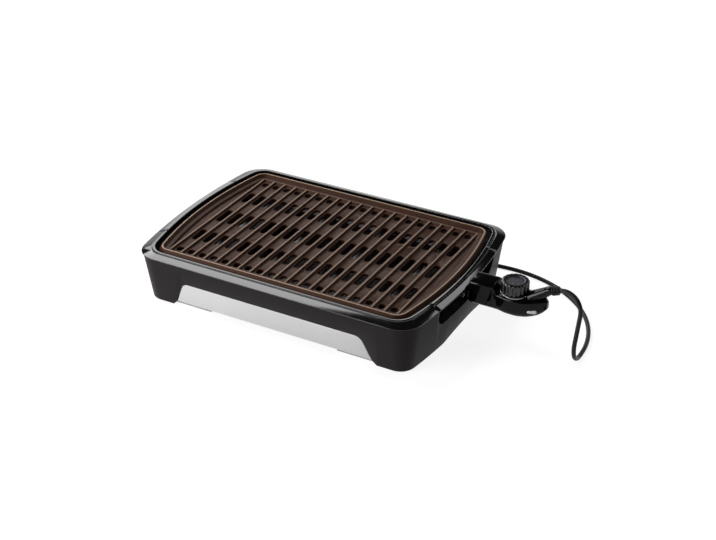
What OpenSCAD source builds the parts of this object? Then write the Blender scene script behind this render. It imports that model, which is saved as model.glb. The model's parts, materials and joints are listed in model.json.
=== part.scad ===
// Electric indoor grill with an open ribbed plate, a drip tray that slides out of
// the front and a plug-in control with a dial.
// Millimetres. Z is up, the grill stands on z = 0 and the front faces -Y.
// Offsets named off_* are measured outwards from the crest line of the plate's rim.

/* [Grill plate] */
// Width over the crest of the rim, across the middle of the bowed ends
plate_w = 440; // [420:2:470]
// Depth over the crest of the rim
plate_d = 287; // [280:1:300]
// Radius of the bow of the two ends
side_radius = 600; // [560:10:800]
// Corner radius of the crest line
plate_corner = 16; // [12:1:20]
// Height of the crest of the rim above the table
rim_z = 85; // [84:0.5:89]
// Depth of the valleys below the crest
well_depth = 8.5; // [8:0.25:9.5]
// Thickness of the cast floor of the plate
floor_t = 4; // [3:0.25:4.25]
// Number of ridges
ridge_count = 20; // [16:2:24]
// Clear margin from the crest line to the outermost ridge
ridge_margin = 27.6; // [25:0.2:32]
// Height of the ridges above the valleys
ridge_h = 3.2; // [2.4:0.1:3.4]
// Width of a ridge at its root
ridge_root = 5.4; // [4.4:0.1:6.4]
// Width of a ridge at its top
ridge_top = 3; // [2:0.1:4]
// Width of the drain slots
slot_w = 10.4; // [7:0.2:11.2]
// Length of the slots in the middle row
mid_slot_l = 40; // [30:1:46]
// Length of the slots in the two rows beside it
long_slot_l = 34; // [28:1:38]
// Length of the slots at the front and back edges
edge_slot_l = 13.5; // [11.5:0.5:15]
// Gap from the crest line to the edge slots
edge_slot_inset = 16.5; // [14:0.5:18]
// Solid land between the middle row and the long rows
land_w = 32; // [26:1:36]

/* [Housing] */
// Thickness of the housing wall
wall_t = 2.6; // [2:0.1:3.2]
// Draft of the housing wall, in degrees
wall_draft = 8; // [6:0.25:9]
// How far the top of the housing wall stands outside the crest line
wall_off = 24.2; // [23:0.1:25]
// Height of the joint between the housing and the top frame
frame_z = 77; // [76:0.25:78]
// Radius of the bow of the frame's outer edge
frame_radius = 890; // [760:10:1000]

// Corner radius of the frame's outer edge
frame_corner = 37; // [33:1:41]

// How far the glossy top frame reaches outside the crest line
frame_off = 26.4; // [26:0.1:28]
// Inner edge of the top frame outside the crest line
lip_off = 10.6; // [9.5:0.1:11.5]
// Width of the raised lip on the long sides
lip_w = 3.4; // [2.6:0.1:4.5]
// Width of the raised lip on the handles
handle_lip_w = 6; // [5:0.1:7]
// Length of each handle
handle_l = 190; // [170:2:196]
// Joint left between a handle and the frame
handle_joint = 0.5; // [0.3:0.1:0.9]
// Length of the finger opening under each handle
grip_l = 184; // [160:2:188]
// Height of the lower edge of the finger opening
grip_z = 45.5; // [42:0.5:52]
// Radius of the lower corners of the finger opening
grip_r = 20; // [12:1:24]
// Height of the ledge that carries the plate
ledge_z = 62.5; // [61:0.25:63]
// Thickness of the inner frame
liner_t = 2.2; // [1.8:0.1:2.6]
// Thickness of the bottom plate
bottom_t = 2.4; // [2:0.1:3]
// Height of the bottom plate above the table
bottom_z = 5; // [4.4:0.1:5.6]
// Height of the housing wall above the table
wall_z = 1; // [0.6:0.1:1.6]
// Radius of a rubber foot
foot_r = 9; // [7:0.5:11]
// Radius of the screw bosses
boss_r = 5; // [4.5:0.1:5.5]
// Thread radius of the housing screws
screw_r = 1.9; // [1.5:0.1:2.2]

/* [Drip tray] */
// Half width of the silver front at its lower edge
front_half_w = 166; // [160:1:170]
// Half width of the silver front at its upper edge
front_top_half_w = 150; // [146:1:156]
// Lower edge of the silver front above the table
front_z0 = 9.5; // [9:0.25:11]
// Upper edge of the silver front above the table
front_z1 = 46; // [43:0.5:48]
// Radius of the upper corners of the silver front
front_r = 14; // [8:1:16]
// Gap between the silver front and the housing
front_gap = 0.8; // [0.5:0.1:1.4]
// Thickness of the silver front
front_t = 1.8; // [1.2:0.1:2.4]
// Half width of the tray
tray_half_w = 146; // [140:1:148]
// Wall thickness of the tray
tray_t = 1.6; // [1.2:0.1:2.2]
// Height of the tray's rim above the table
tray_top = 39; // [35:0.5:40]
// Radius of the tray's corners
tray_r = 14; // [10:1:20]
// Half width of the opening under the heat reflector
throat_half_w = 139; // [130:1:141]
// Half depth of the opening under the heat reflector
throat_half_d = 119; // [110:1:121]

/* [Heating element] */
// Radius of the tubular element
element_r = 3.3; // [3:0.05:3.4]
// Bend radius of the element's corners
element_bend = 14; // [11:0.5:18]
// Distance between the two terminals
terminal_pitch = 18; // [17:0.5:22]
// Radius of a terminal pin
terminal_r = 2; // [1.6:0.1:2.2]
// Width of the straps under the element
strap_w = 12; // [8:1:16]
// Thickness of the straps
strap_t = 1.4; // [1:0.1:1.5]

/* [Control] */
// Width of the nose of the control
nose_w = 34; // [32:1:38]
// Height of the nose above the table, at its top
nose_top = 91; // [89:0.5:95]
// Height of the nose above the table, at its underside
nose_bottom = 52; // [50:0.5:53]
// Gap between the nose and the handle
nose_gap = 0.5; // [0.4:0.1:1]
// Length of the nose at its underside
nose_l = 27; // [24:1:29]
// Lean of the joint between the nose and the body, in degrees
seam_lean = 16; // [10:1:18]
// Distance from the handle's edge to the dial's axis
dial_reach = 66; // [64:0.5:70]
// Radius of the dial
dial_r = 20.5; // [19:0.25:21]
// Height of the dial
dial_h = 17.6; // [15:0.2:20]
// Number of flutes round the dial
flute_count = 18; // [12:1:24]
// Radius of a flute
flute_r = 2.1; // [1.4:0.1:2.3]
// Radius of the inset disc on the dial
disc_r = 12.6; // [12:0.1:14.5]
// Height of the deck under the dial
deck_z = 79.6; // [78:0.2:81]
// Height of the collar under the dial
collar_h = 2.4; // [1.6:0.1:3]
// Radius of the dial's shaft
shaft_r = 3; // [2.5:0.1:3.5]
// Length of the sensing rod inside the grill
rod_l = 54; // [45:1:58]
// Radius of the sensing rod
rod_r = 2.4; // [2:0.1:2.6]

/* [Mains lead] */
// Diameter of the lead
cord_d = 6.6; // [6.2:0.1:7.2]
// Mean radius of the coil
coil_r = 37; // [36:0.5:38.5]
// Length of the plug's body
plug_l = 34; // [30:1:40]
// Radius of the plug's body
plug_r = 18; // [16:0.5:19]

/* [Hidden] */
$fn = 48;
eps = 0.01;
fit = 0.3;

// Outline of every ring round the grill: straight long sides, bowed ends
side_steps = 4;
corner_steps = 7;
bow_x = plate_w / 2 - side_radius;
function quarter(hw, hd, big, r) =
    let (yc = hd - r, turn = asin(yc / (big - r)))
    let (xc = hw - big + (big - r) * cos(turn))
    concat([for (i = [0 : side_steps - 1]) let (a = turn * i / side_steps)
            [hw - big + big * cos(a), big * sin(a)]],
        [for (i = [0 : corner_steps]) let (a = turn + (90 - turn) * i / corner_steps)
            [xc + r * cos(a), yc + r * sin(a)]]);
function close4(q) = concat(q,
    [for (i = [len(q) - 1 : -1 : 1]) [-q[i].x, q[i].y]],
    [for (p = q) [-p.x, -p.y]],
    [for (i = [len(q) - 1 : -1 : 1]) [q[i].x, -q[i].y]]);
function loop_at(off, big, r) =
    close4(quarter(plate_w / 2 + off, plate_d / 2 + off, big, max(r, 4)));
// Outside the lip's inner edge both radii ease into those of the frame's outer edge
function eased(off, near, far) = off <= lip_off ? near + off
    : near + lip_off + (far - near - lip_off) * (off - lip_off) / (frame_off - lip_off);
function bowed(off) =
    loop_at(off, eased(off, side_radius, frame_radius), eased(off, plate_corner, frame_corner));
// The walls and the bottom keep to the flatter bow of the frame's outer edge
function walled(off) =
    loop_at(off, frame_radius + off - frame_off, frame_corner + off - frame_off);
function wall_x(off, y) = let (big = frame_radius + off - frame_off)
    plate_w / 2 + off - big + sqrt(big * big - y * y);
function bowed_at(hw, hd, r) = close4(quarter(hw, hd, hw - bow_x, r));
// Crest line's half width at a given distance from the middle
function crest_x(y) = bow_x + sqrt(pow(side_radius, 2) - y * y);

// Rounded rectangle for the tray
function rounded(hw, hd, r) = [for (k = [0 : 3], i = [0 : corner_steps])
    let (a = 90 * k + 90 * i / corner_steps)
    let (sx = k == 0 || k == 3 ? 1 : -1, sy = k < 2 ? 1 : -1)
    [sx * (hw - r) + r * cos(a), sy * (hd - r) + r * sin(a)]];

function at_z(loop, z) = [for (p = loop) [p.x, p.y, z]];
function tri_band(a, b, n) = [for (j = [0 : n - 1]) let (k = (j + 1) % n)
    each [[a + j, b + k, a + k], [a + j, b + j, b + k]]];

// A closed ring: the loops go round its section, outside up and inside down
module ring_solid(loops) {
    n = len(loops[0]);
    m = len(loops);
    polyhedron(points = [for (l = loops) each l],
        faces = [for (i = [0 : m - 1]) each tri_band(i * n, ((i + 1) % m) * n, n)],
        convexity = 8);
}

// A solid between loops, closed at both ends
module skin(loops) {
    n = len(loops[0]);
    m = len(loops);
    polyhedron(points = [for (l = loops) each l],
        faces = concat([for (i = [0 : m - 2]) each tri_band(i * n, (i + 1) * n, n)],
            [[for (j = [0 : n - 1]) j]], [[for (j = [n - 1 : -1 : 0]) (m - 1) * n + j]]),
        convexity = 8);
}

// Section given as [offset, height] points
module bowed_ring(section) {
    ring_solid([for (p = section) at_z(bowed(p[0]), p[1])]);
}

// Sweeps a round section along a route, with the radius given at each point
function heading(p, i) =
    let (d = p[min(i + 1, len(p) - 1)] - p[max(i - 1, 0)]) d / norm(d);
function carried(p, u, i = 0) = i == len(p) ? [] :
    let (d = heading(p, i), v = u - (u * d) * d)
    concat([v / norm(v)], carried(p, v, i + 1));
module swept(route, radii, sides) {
    across = carried(route, [0, 1, 0]);
    skin([for (i = [0 : len(route) - 1])
        let (side = across[i], top = cross(heading(route, i), side))
        [for (k = [0 : sides - 1]) let (a = 360 * (k + 0.5) / sides)
            route[i] + radii[i] * (cos(a) * side + sin(a) * top)]]);
}

module tube(r, bore, h) {
    difference() {
        cylinder(r = r, h = h);
        translate([0, 0, -1]) cylinder(r = bore, h = h + 2);
    }
}

// Heights and reaches that several pieces share
valley_z = rim_z - well_depth;
plate_under = valley_z - floor_t;
lip_top = rim_z - 0.5;
draft_run = tan(wall_draft);
function wall_at(z) = wall_off - draft_run * (frame_z - z);
side_reach = plate_w / 2 + frame_off;
bottom_top = bottom_z + bottom_t;
ledge_under = ledge_z - liner_t;
reflector_t = 1;
reflector_edge = -9.4;
strap_top = ledge_z + reflector_t + strap_t;
contact_z = strap_top + fit + element_r;
contact_y = terminal_pitch / 2;

// The control, in the grill's own centred frame
nose_x = side_reach + nose_gap;
seam_x = nose_x + nose_l;
dial_x = side_reach + dial_reach;
neck_up = 36;
neck_r = 6.4;
relief_l = 12;
relief_up = 15;
function along(d, up) = d * [cos(up), 0, sin(up)];
relief_end = [dial_x + 67.8, 0, deck_z + 21.9];
neck_face = relief_end - along(relief_l, relief_up);
neck_elbow = neck_face - along(4, relief_up);
probe_tip = neck_face.x + neck_r * sin(relief_up);
// The origin lies under the middle of the whole grill with its control
shift = (side_reach - probe_tip) / 2;
module place() {
    translate([shift, 0, 0]) children();
}

// Extrudes an outline drawn in Y and Z along X
module sideways(from, to) {
    translate([from, 0, 0]) rotate([90, 0, 90]) linear_extrude(to - from) children();
}

// Extrudes an outline on the sloping front wall; 0 is its outer face
module on_front(from, to) {
    translate([0, -(plate_d / 2 + wall_at(0)), 0]) rotate([90 + wall_draft, 0, 0])
        translate([0, 0, from]) linear_extrude(to - from) children();
}

// Does the same at both ends of the grill
module both_ends() {
    for (s = [0, 180]) rotate(s) children();
}

// Housing

boss_in = 4;
side_boss_y = plate_d / 2 - 42.5;
long_boss_x = plate_w / 2 - 34;
quarters = [[-1, -1], [1, -1], [1, 1], [-1, 1]];
boss_at = concat(
    [for (q = quarters) [q.x * (crest_x(side_boss_y) + boss_in), q.y * side_boss_y]],
    [for (q = quarters) [q.x * long_boss_x, q.y * (plate_d / 2 + boss_in)]]);
foot_at = [for (q = quarters) [q.x * (plate_w / 2 - 34), q.y * (plate_d / 2 - 22)]];
foot_peg_r = 3;
fit_hole = 0.1;
handle_drop = 2.4;

// Outline of the silver front, grown by a gap and cut off at height zb
function front_outline(grow, zb) =
    let (lean = atan((front_half_w - front_top_half_w) / (front_z1 - front_z0)))
    let (d = front_half_w * cos(lean) + front_z0 * sin(lean), cz = front_z1 - front_r)
    let (cx = (d - front_r - cz * sin(lean)) / cos(lean), r = front_r + grow)
    let (side = [for (i = [0 : 8]) let (a = lean + (90 - lean) * i / 8)
        [cx + r * cos(a), cz + r * sin(a)]])
    let (half = concat([[(d + grow - zb * sin(lean)) / cos(lean), zb]], side))
    concat(half, [for (i = [len(half) - 1 : -1 : 0]) [-half[i].x, half[i].y]]);

module grip_outline() {
    half = grip_l / 2 - grip_r;
    low = grip_z + grip_r;
    polygon(concat([for (i = [0 : 6]) let (a = 180 + 15 * i)
            [-half + grip_r * cos(a), low + grip_r * sin(a)]],
        [for (i = [0 : 6]) let (a = 270 + 15 * i)
            [half + grip_r * cos(a), low + grip_r * sin(a)]],
        [[grip_l / 2, frame_z + 3], [-grip_l / 2, frame_z + 3]]));
}

// Low rounded arch under a wall
module low_arch(half, rise) {
    r = (half * half + rise * rise) / (2 * rise);
    turn = asin(half / r);
    polygon(concat([[-half, -2], [half, -2]], [for (i = [8 : -1 : -8]) let (a = turn * i / 8)
        [r * sin(a), rise - r + r * cos(a)]]));
}

// Low arch under a wall, rising from the table over a short ramp
module arch(half, rise, ramp) {
    polygon([[-half - ramp, -2], [half + ramp, -2], [half + ramp, 0], [half, rise],
        [-half, rise], [-half - ramp, 0]]);
}

// Screw boss with a web to the wall; it stands on the bottom plate
module boss(b) {
    on_long_side = abs(b.y) > plate_d / 2;
    turn = on_long_side ? 90 * sign(b.y) : (b.x > 0 ? 0 : 180);
    web = 2.4;
    web_h = 14;
    web_end = on_long_side ? plate_d / 2 + wall_at(bottom_top) : wall_x(wall_at(bottom_top), b.y);
    web_l = web_end - wall_t / 2 - abs(on_long_side ? b.y : b.x);
    difference() {
        union() {
            translate([b.x, b.y, bottom_top]) cylinder(r = boss_r, h = ledge_under - bottom_top);
            translate([b.x, b.y, bottom_top]) rotate(turn) translate([0, -web / 2, 0])
                cube([web_l, web, web_h]);
        }
        translate([b.x, b.y, bottom_top - 1]) cylinder(r = screw_r + fit_hole, h = 14);
    }
}

module base_shell() color([0.17, 0.16, 0.165]) place() {
    edge_r = 1.2;
    side_arch = [68, 9.5];
    inside = plate_w / 2 - 25;
    outside = side_reach + 5;
    difference() {
        ring_solid([for (p = [[wall_at(wall_z) - edge_r, wall_z],
            [wall_at(wall_z), wall_z + edge_r], [wall_at(frame_z), frame_z],
            [wall_at(frame_z) - wall_t, frame_z], [wall_at(wall_z) - wall_t, wall_z]])
            at_z(walled(p[0]), p[1])]);
        on_front(-30, 6) polygon(front_outline(front_gap, front_z0 - 2));
        on_front(-30, 6) arch(front_half_w + front_gap, front_z0 - 0.5, 9);
        both_ends() {
            sideways(inside, outside) grip_outline();
            translate([inside, -handle_l / 2 - handle_joint, frame_z - handle_drop - fit])
                cube([outside - inside, handle_l + 2 * handle_joint, 10]);
            sideways(inside, outside) low_arch(side_arch.x, side_arch.y);
        }
        translate([0, side_reach, 0]) rotate([90, 0, 0]) linear_extrude(120)
            arch(130, 5, 10);
    }
    for (b = boss_at) boss(b);
}

// Section of the top frame, with a raised lip of a given width
function frame_section(lip) = [[lip_off, frame_z], [frame_off - 1.2, frame_z],
    [frame_off, frame_z + 0.9], [frame_off - 0.4, frame_z + 1.7],
    [lip_off + lip + 1.2, lip_top - 2.2], [lip_off + lip + 0.3, lip_top - 2.4],
    [lip_off + lip, lip_top - 0.5], [lip_off + lip - 0.6, lip_top],
    [lip_off + 0.9, lip_top], [lip_off, lip_top - 0.9]];

module end_slab(length) {
    translate([plate_w / 2 - 60, -length / 2, frame_z - 20]) cube([120, length, 40]);
}

module top_frame() color([0.07, 0.07, 0.075]) place() difference() {
    bowed_ring(frame_section(lip_w));
    both_ends() end_slab(handle_l + 2 * handle_joint);
}

// One handle: the end of the frame, with a rounded grip hanging under it
module handle() {
    root = lip_off + liner_t + fit;
    intersection() {
        bowed_ring(concat([[lip_off, frame_z], [root, frame_z],
            [root, frame_z - handle_drop], [frame_off - 6, frame_z - handle_drop],
            [frame_off - 2.5, frame_z - 1.4]],
            [for (i = [1 : 9]) frame_section(handle_lip_w)[i]]));
        end_slab(handle_l);
    }
}

module handle_left() color([0.07, 0.07, 0.075]) place() rotate(180) handle();

module handle_right() color([0.07, 0.07, 0.075]) place() handle();

pad_r = 4.6;
pad_in = 4;
pad_y = 96;
pad_x = 60;
plate_foot_h = 3;
plate_foot_r = 4.2;
pad_at = concat([for (q = quarters) [q.x * (crest_x(pad_y) - pad_in), q.y * pad_y]],
    [for (q = quarters) [q.x * pad_x, q.y * (plate_d / 2 - pad_in)]]);

// Width and height of the opening for the contacts
guard_w = terminal_pitch + 20;
guard_h = 12;
guard_x = plate_w / 2 + lip_off + liner_t;

module inner_frame() color([0.1, 0.1, 0.1]) place() {
    inner = -8.5;
    skirt = [-3, ledge_z - 11.5];
    rib_pitch = 12;
    difference() {
        bowed_ring([[lip_off + liner_t, ledge_under], [lip_off + liner_t, frame_z],
            [lip_off, frame_z], [lip_off, ledge_z], [inner - liner_t, ledge_z],
            [inner - liner_t + skirt.x, skirt.y], [inner + skirt.x, skirt.y],
            [inner, ledge_under]]);
        translate([plate_w / 2, -guard_w / 2 + 3, contact_z - guard_h / 2])
            cube([40, guard_w - 6, guard_h]);
    }
    // Upright ribs behind the finger openings
    both_ends() for (i = [2 : 7], s = [-1, 1]) let (y = s * i * rib_pitch)
        translate([crest_x(y) + lip_off + 1, y - 0.8, ledge_under + 1]) cube([3, 1.6, 11]);
}

rail_h = 1.8;

module bottom_plate() color([0.1, 0.1, 0.1]) place() {
    edge = wall_at(bottom_z) - wall_t - 0.5;
    rail_x = tray_half_w - 28;
    pull_half = rail_x - 10;
    pull_deep = 22;
    rail_w = 5;
    toe_l = 38;
    toe_d = 9;
    front_y = -plate_d / 2 - edge;
    difference() {
        translate([0, 0, bottom_z]) linear_extrude(bottom_t) difference() {
            polygon(walled(edge));
            translate([-pull_half, front_y - 1]) square([2 * pull_half, pull_deep]);
        }
        for (b = boss_at) translate([b.x, b.y, 0]) cylinder(r = screw_r + 0.3, h = 20);
        for (f = foot_at) translate([f.x, f.y, 0]) cylinder(r = foot_peg_r + fit_hole, h = 20);
    }
    for (x = [-rail_x, rail_x]) translate([x - rail_w / 2, -plate_d / 2, bottom_top - eps])
        cube([rail_w, plate_d - 14, rail_h + eps]);
}

module rubber_feet() color([0.08, 0.08, 0.08]) place() for (f = foot_at)
    translate([f.x, f.y, 0]) {
        cylinder(r = foot_r, h = bottom_z);
        cylinder(r = foot_peg_r, h = bottom_top + 1.5);
    }

module housing_screws() color("silver") place() for (b = boss_at)
    translate([b.x, b.y, bottom_z]) {
        translate([0, 0, -1.6]) cylinder(r = 3.6, h = 1.6);
        cylinder(r = screw_r, h = bottom_t + 12);
    }

module plate_pads() color([0.3, 0.28, 0.26]) place() for (p = pad_at)
    translate([p.x, p.y, ledge_z])
        cylinder(r = pad_r, h = plate_under - plate_foot_h - fit - ledge_z);

module heat_reflector() color([0.75, 0.75, 0.76]) place() {
    edge = reflector_edge;
    lip = -10.9;
    throat_z = ledge_z - 18;
    cone_z = ledge_z - 11.7;
    top = ledge_z + reflector_t;
    throat = bowed_at(throat_half_w, throat_half_d, tray_r);
    ring_solid([at_z(bowed(edge), ledge_z), at_z(bowed(edge), top),
        at_z(bowed(lip - 1), top), at_z(bowed(lip - 4.3), cone_z),
        at_z(throat, throat_z + reflector_t), at_z(throat, throat_z),
        at_z(bowed(lip - 3.3), cone_z - reflector_t), at_z(bowed(lip), ledge_z)]);
}

// The straps lie between the columns of slots, out of sight
strap_half = plate_d / 2 + reflector_edge;

module element_straps() color("silver") place() for (k = [-7.5, -2.5, 2.5, 7.5])
    translate([k * ridge_gap - strap_w / 2, -strap_half, ledge_z + reflector_t])
        cube([strap_w, 2 * strap_half, strap_t]);

// The element runs under the solid lands between the rows of slots
long_y = mid_slot_l / 2 + land_w + long_slot_l / 2;
edge_y = plate_d / 2 - edge_slot_inset - edge_slot_l / 2;
function on_grid(v) = round(8 * v) / 8;
inner_leg_y = on_grid(mid_slot_l / 2 + land_w / 2);
outer_leg_y = on_grid((long_y + long_slot_l / 2 + edge_y - edge_slot_l / 2) / 2);
run_x = on_grid(plate_w / 2 - 24);
inner_end_x = on_grid(plate_w / 2 - 92);
element_end = plate_w / 2 + 2;

module straight(from, to) {
    d = to - from;
    translate([from.x, from.y, contact_z]) rotate([90, 0, atan2(d.y, d.x) + 90])
        cylinder(r = element_r, h = norm(d));
}

module bend(centre, r, start, turn) {
    translate([centre.x, centre.y, contact_z]) rotate(start)
        rotate_extrude(angle = turn) translate([r, 0]) circle(r = element_r, $fn = 24);
}

module half_element() {
    b = element_bend;
    u = (outer_leg_y - inner_leg_y) / 2;
    left_x = -run_x + u;
    straight([element_end, contact_y], [run_x + b, contact_y]);
    bend([run_x + b, contact_y + b], b, 180, 90);
    straight([run_x, contact_y + b], [run_x, outer_leg_y - b]);
    bend([run_x - b, outer_leg_y - b], b, 0, 90);
    straight([run_x - b, outer_leg_y], [left_x, outer_leg_y]);
    bend([left_x, inner_leg_y + u], u, 90, 180);
    straight([left_x, inner_leg_y], [inner_end_x, inner_leg_y]);
}

module heating_element() color([0.36, 0.36, 0.38]) place() {
    half_element();
    mirror([0, 1, 0]) half_element();
    bend([inner_end_x, 0], inner_leg_y, -90, 180);
}

module along_x(x, y, z) {
    translate([x, y, z]) rotate([0, 90, 0]) children();
}

pin_end = nose_x - 3;

module terminal_beads() color("white") place() for (s = [-1, 1])
    along_x(element_end - 6, s * contact_y, contact_z) tube(element_r + 0.9, element_r + 0.1, 5);

module terminal_pins() color("silver") place() for (s = [-1, 1])
    along_x(element_end, s * contact_y, contact_z)
        cylinder(r = terminal_r, h = pin_end - element_end);

sleeve_bore = terminal_r + fit;
sleeve_r = sleeve_bore + 1.2;
guard_depth = 8;

module terminal_guard() color([0.12, 0.12, 0.12]) place() difference() {
    low = contact_z - guard_h / 2 - 2;
    translate([guard_x, -guard_w / 2, low])
        cube([guard_depth, guard_w, frame_z - handle_drop - fit - low]);
    for (s = [-1, 1]) along_x(guard_x - 1, s * contact_y, contact_z)
        cylinder(r = sleeve_r + 0.6, h = guard_depth + 2);
    along_x(guard_x - 1, 0, contact_z) cylinder(r = rod_r + 0.6, h = guard_depth + 2);
}

// Grill plate

ridge_gap = (plate_w - 2 * ridge_margin) / (ridge_count - 1);
floor_off = -12.5;

module slot(x, y, length) {
    translate([x, y]) {
        square([slot_w, length - slot_w], center = true);
        for (s = [-1, 1]) translate([0, s * (length - slot_w) / 2]) circle(d = slot_w, $fn = 24);
    }
}

module slots() {
    for (i = [0 : ridge_count - 2]) let (x = ridge_gap * (i - (ridge_count - 2) / 2)) {
        slot(x, 0, mid_slot_l);
        for (s = [-1, 1]) {
            slot(x, s * long_y, long_slot_l);
            slot(x, s * edge_y, edge_slot_l);
        }
    }
}

module ridge() {
    half = plate_d / 2 + floor_off + 1.8;
    translate([0, half, valley_z]) rotate([90, 0, 0]) linear_extrude(2 * half)
        polygon([[-ridge_root / 2, -1], [ridge_root / 2, -1], [ridge_root / 2, 0],
            [ridge_top / 2, ridge_h], [-ridge_top / 2, ridge_h], [-ridge_root / 2, 0]]);
}

module grill_plate() color([0.29, 0.24, 0.21]) place() {
    shelf_z = rim_z - 5;
    difference() {
        union() {
            bowed_ring([[floor_off - 0.5, plate_under], [0, plate_under + 2.7],
                [3.5, plate_under + 4.2], [4.8, plate_under + 5.6], [4.6, plate_under + 7.2],
                [1.2, rim_z - 0.7], [0.3, rim_z], [-1.4, rim_z],
                [-2.2, rim_z - 0.7], [-4.6, shelf_z + 0.5], [-5.6, shelf_z],
                [-10.2, shelf_z - 0.1], [floor_off + 0.5, valley_z],
                [floor_off - 0.5, valley_z]]);
            translate([0, 0, plate_under]) linear_extrude(floor_t) polygon(bowed(floor_off));
            for (i = [0 : ridge_count - 1])
                translate([ridge_gap * (i - (ridge_count - 1) / 2), 0, 0]) ridge();
            for (p = pad_at) translate([p.x, p.y, plate_under - plate_foot_h])
                cylinder(r = plate_foot_r, h = plate_foot_h + 4);
        }
        translate([0, 0, plate_under - 1]) linear_extrude(floor_t + ridge_h + 3) slots();
    }
}

// Drip tray

tray_z = bottom_top + rail_h + fit;
tray_flange = 4;
tray_front_y = plate_d / 2 + 6.5;
tray_back_y = plate_d / 2 - 12;

tray_half_d = (tray_front_y + tray_back_y) / 2;
function tray_loop(inset, z) =
    at_z(rounded(tray_half_w - inset, tray_half_d - inset, tray_r - inset / 2), z);

module drip_tray() color([0.12, 0.12, 0.12]) place() {
    low = tray_z + tray_t;
    translate([0, tray_back_y - tray_half_d, 0])
        skin([tray_loop(9, tray_z), tray_loop(7.6, tray_z + 1.6),
            tray_loop(tray_flange, tray_top - tray_t), tray_loop(0, tray_top - tray_t),
            tray_loop(0, tray_top), tray_loop(tray_flange + tray_t, tray_top),
            tray_loop(9.2, low + 1.4), tray_loop(10.4, low)]);
}

panel_sink = 0.4;
bracket_t = 2.6;

module tray_front() color([0.8, 0.8, 0.81]) place()
    on_front(-front_t - panel_sink, -panel_sink) polygon(front_outline(0, front_z0));

module tray_bracket() color([0.1, 0.1, 0.1]) place() {
    back = -front_t - panel_sink;
    on_front(back - bracket_t, back) polygon(front_outline(-2.5, front_z0 + 1.5));
    difference() {
        for (k = [-3 : 3]) let (x = k * (tray_half_w - 26) / 3)
            translate([x - 1.5, -tray_front_y - 20, tray_z + 3])
                cube([3, 20 + tray_flange - fit, tray_top - tray_t - tray_z - 3]);
        on_front(back - bracket_t + 0.4, 30) translate([-200, -50]) square([400, 150]);
    }
}

// Control

// Rounded section across the control: half width, underside, top, two corner radii
function corner(y, z, r, start) =
    [for (i = [0 : 4]) let (a = start + 22.5 * i) [y + r * cos(a), z + r * sin(a)]];
function slice(x, hw, z0, z1, low_r, top_r) = [for (p = concat(
    corner(hw - low_r, z0 + low_r, low_r, -90), corner(hw - top_r, z1 - top_r, top_r, 0),
    corner(top_r - hw, z1 - top_r, top_r, 90), corner(low_r - hw, z0 + low_r, low_r, 180)))
    [x, p.x, p.y]];

nose_half = nose_w / 2;
tail_x = dial_x + 51;
body_low = nose_bottom - 2;
collar_r = dial_r + 1;

module nose_blank() {
    soft = 4;
    skin([slice(nose_x, nose_half - soft, nose_bottom + soft, nose_top - soft, 4, 6),
        slice(nose_x + soft / 3, nose_half - soft / 3, nose_bottom + soft / 3,
            nose_top - soft / 3, 5, 7.4),
        slice(nose_x + soft, nose_half, nose_bottom, nose_top, 6, 8),
        slice(dial_x, nose_half, nose_bottom, nose_top, 6, 8)]);
}

module body_blank() {
    step_x = dial_x - collar_r - 6.5;
    skin([slice(nose_x + 8, nose_half, nose_bottom, nose_top, 6, 8),
        slice(step_x, nose_half, nose_bottom, nose_top - 0.4, 6, 8),
        slice(step_x + 6, nose_half + 0.8, nose_bottom - 0.2, deck_z + 1.6, 7, 5),
        slice(step_x + 8, nose_half + 1.2, nose_bottom - 0.4, deck_z, 8, 5),
        slice(dial_x - 6, nose_half + 4.4, body_low + 0.4, deck_z, 10, 5),
        slice(dial_x + 8, nose_half + 5, body_low, deck_z, 11, 5),
        slice(dial_x + 20, nose_half + 3.6, body_low + 0.6, deck_z + 0.4, 12, 6),
        slice(dial_x + 30, nose_half + 0.8, body_low + 2.6, deck_z + 2, 12, 7),
        slice(dial_x + 39, nose_half - 3.6, body_low + 6, deck_z + 3.4, 10, 8),
        slice(dial_x + 46, nose_half - 8.4, body_low + 11, deck_z + 3, 7, 7),
        slice(tail_x, nose_half - 13, body_low + 17, deck_z - 1, 3, 3)]);
    // Neck that carries the lead
    swept(concat([for (back = [34, 24, 14, 5]) neck_elbow - along(back, neck_up)],
        [neck_elbow, neck_face]), [10.5, 9.4, 8.2, 7.2, 6.8, neck_r], 16);
}

// The nose lies on one side of this slanting joint and the body on the other
module seam_cut(side) {
    translate([seam_x, 0, nose_bottom]) rotate([0, seam_lean, 0])
        translate([side > 0 ? 0 : -120, -60, -60]) cube([120, 120, 140]);
}

cavity = [38, 28];
cavity_x = dial_x - 17;
cavity_top = deck_z - 5;
cavity_floor = nose_bottom + 2;
split_z = nose_bottom + 7;

module lower_half() {
    translate([nose_x, -nose_w, split_z - nose_w])
        cube([tail_x + nose_l - nose_x, 2 * nose_w, nose_w]);
}

module cavity_space() {
    translate([cavity_x, -cavity.y / 2, cavity_floor])
        cube([cavity.x, cavity.y, cavity_top - cavity_floor]);
}

module contact_bores() {
    for (s = [-1, 1]) along_x(nose_x - 20, s * contact_y, contact_z)
        cylinder(r = sleeve_r + fit_hole, h = 60);
    along_x(nose_x - 20, 0, contact_z) cylinder(r = rod_r + fit_hole, h = 60);
}

module probe_nose() color([0.06, 0.06, 0.065]) place() difference() {
    boss_l = 5;
    union() {
        difference() {
            nose_blank();
            seam_cut(1);
        }
        translate([nose_x - boss_l, -nose_half + 1, contact_z - 7.1])
            cube([boss_l + 4, nose_w - 2, 11.5]);
    }
    contact_bores();
}

lens_at = [dial_x + 33.3, 1.4 - nose_half, nose_bottom + 12.5];
lens_size = [15, 5.6];
lens_turn = 20;
lens_t = 3;

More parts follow.
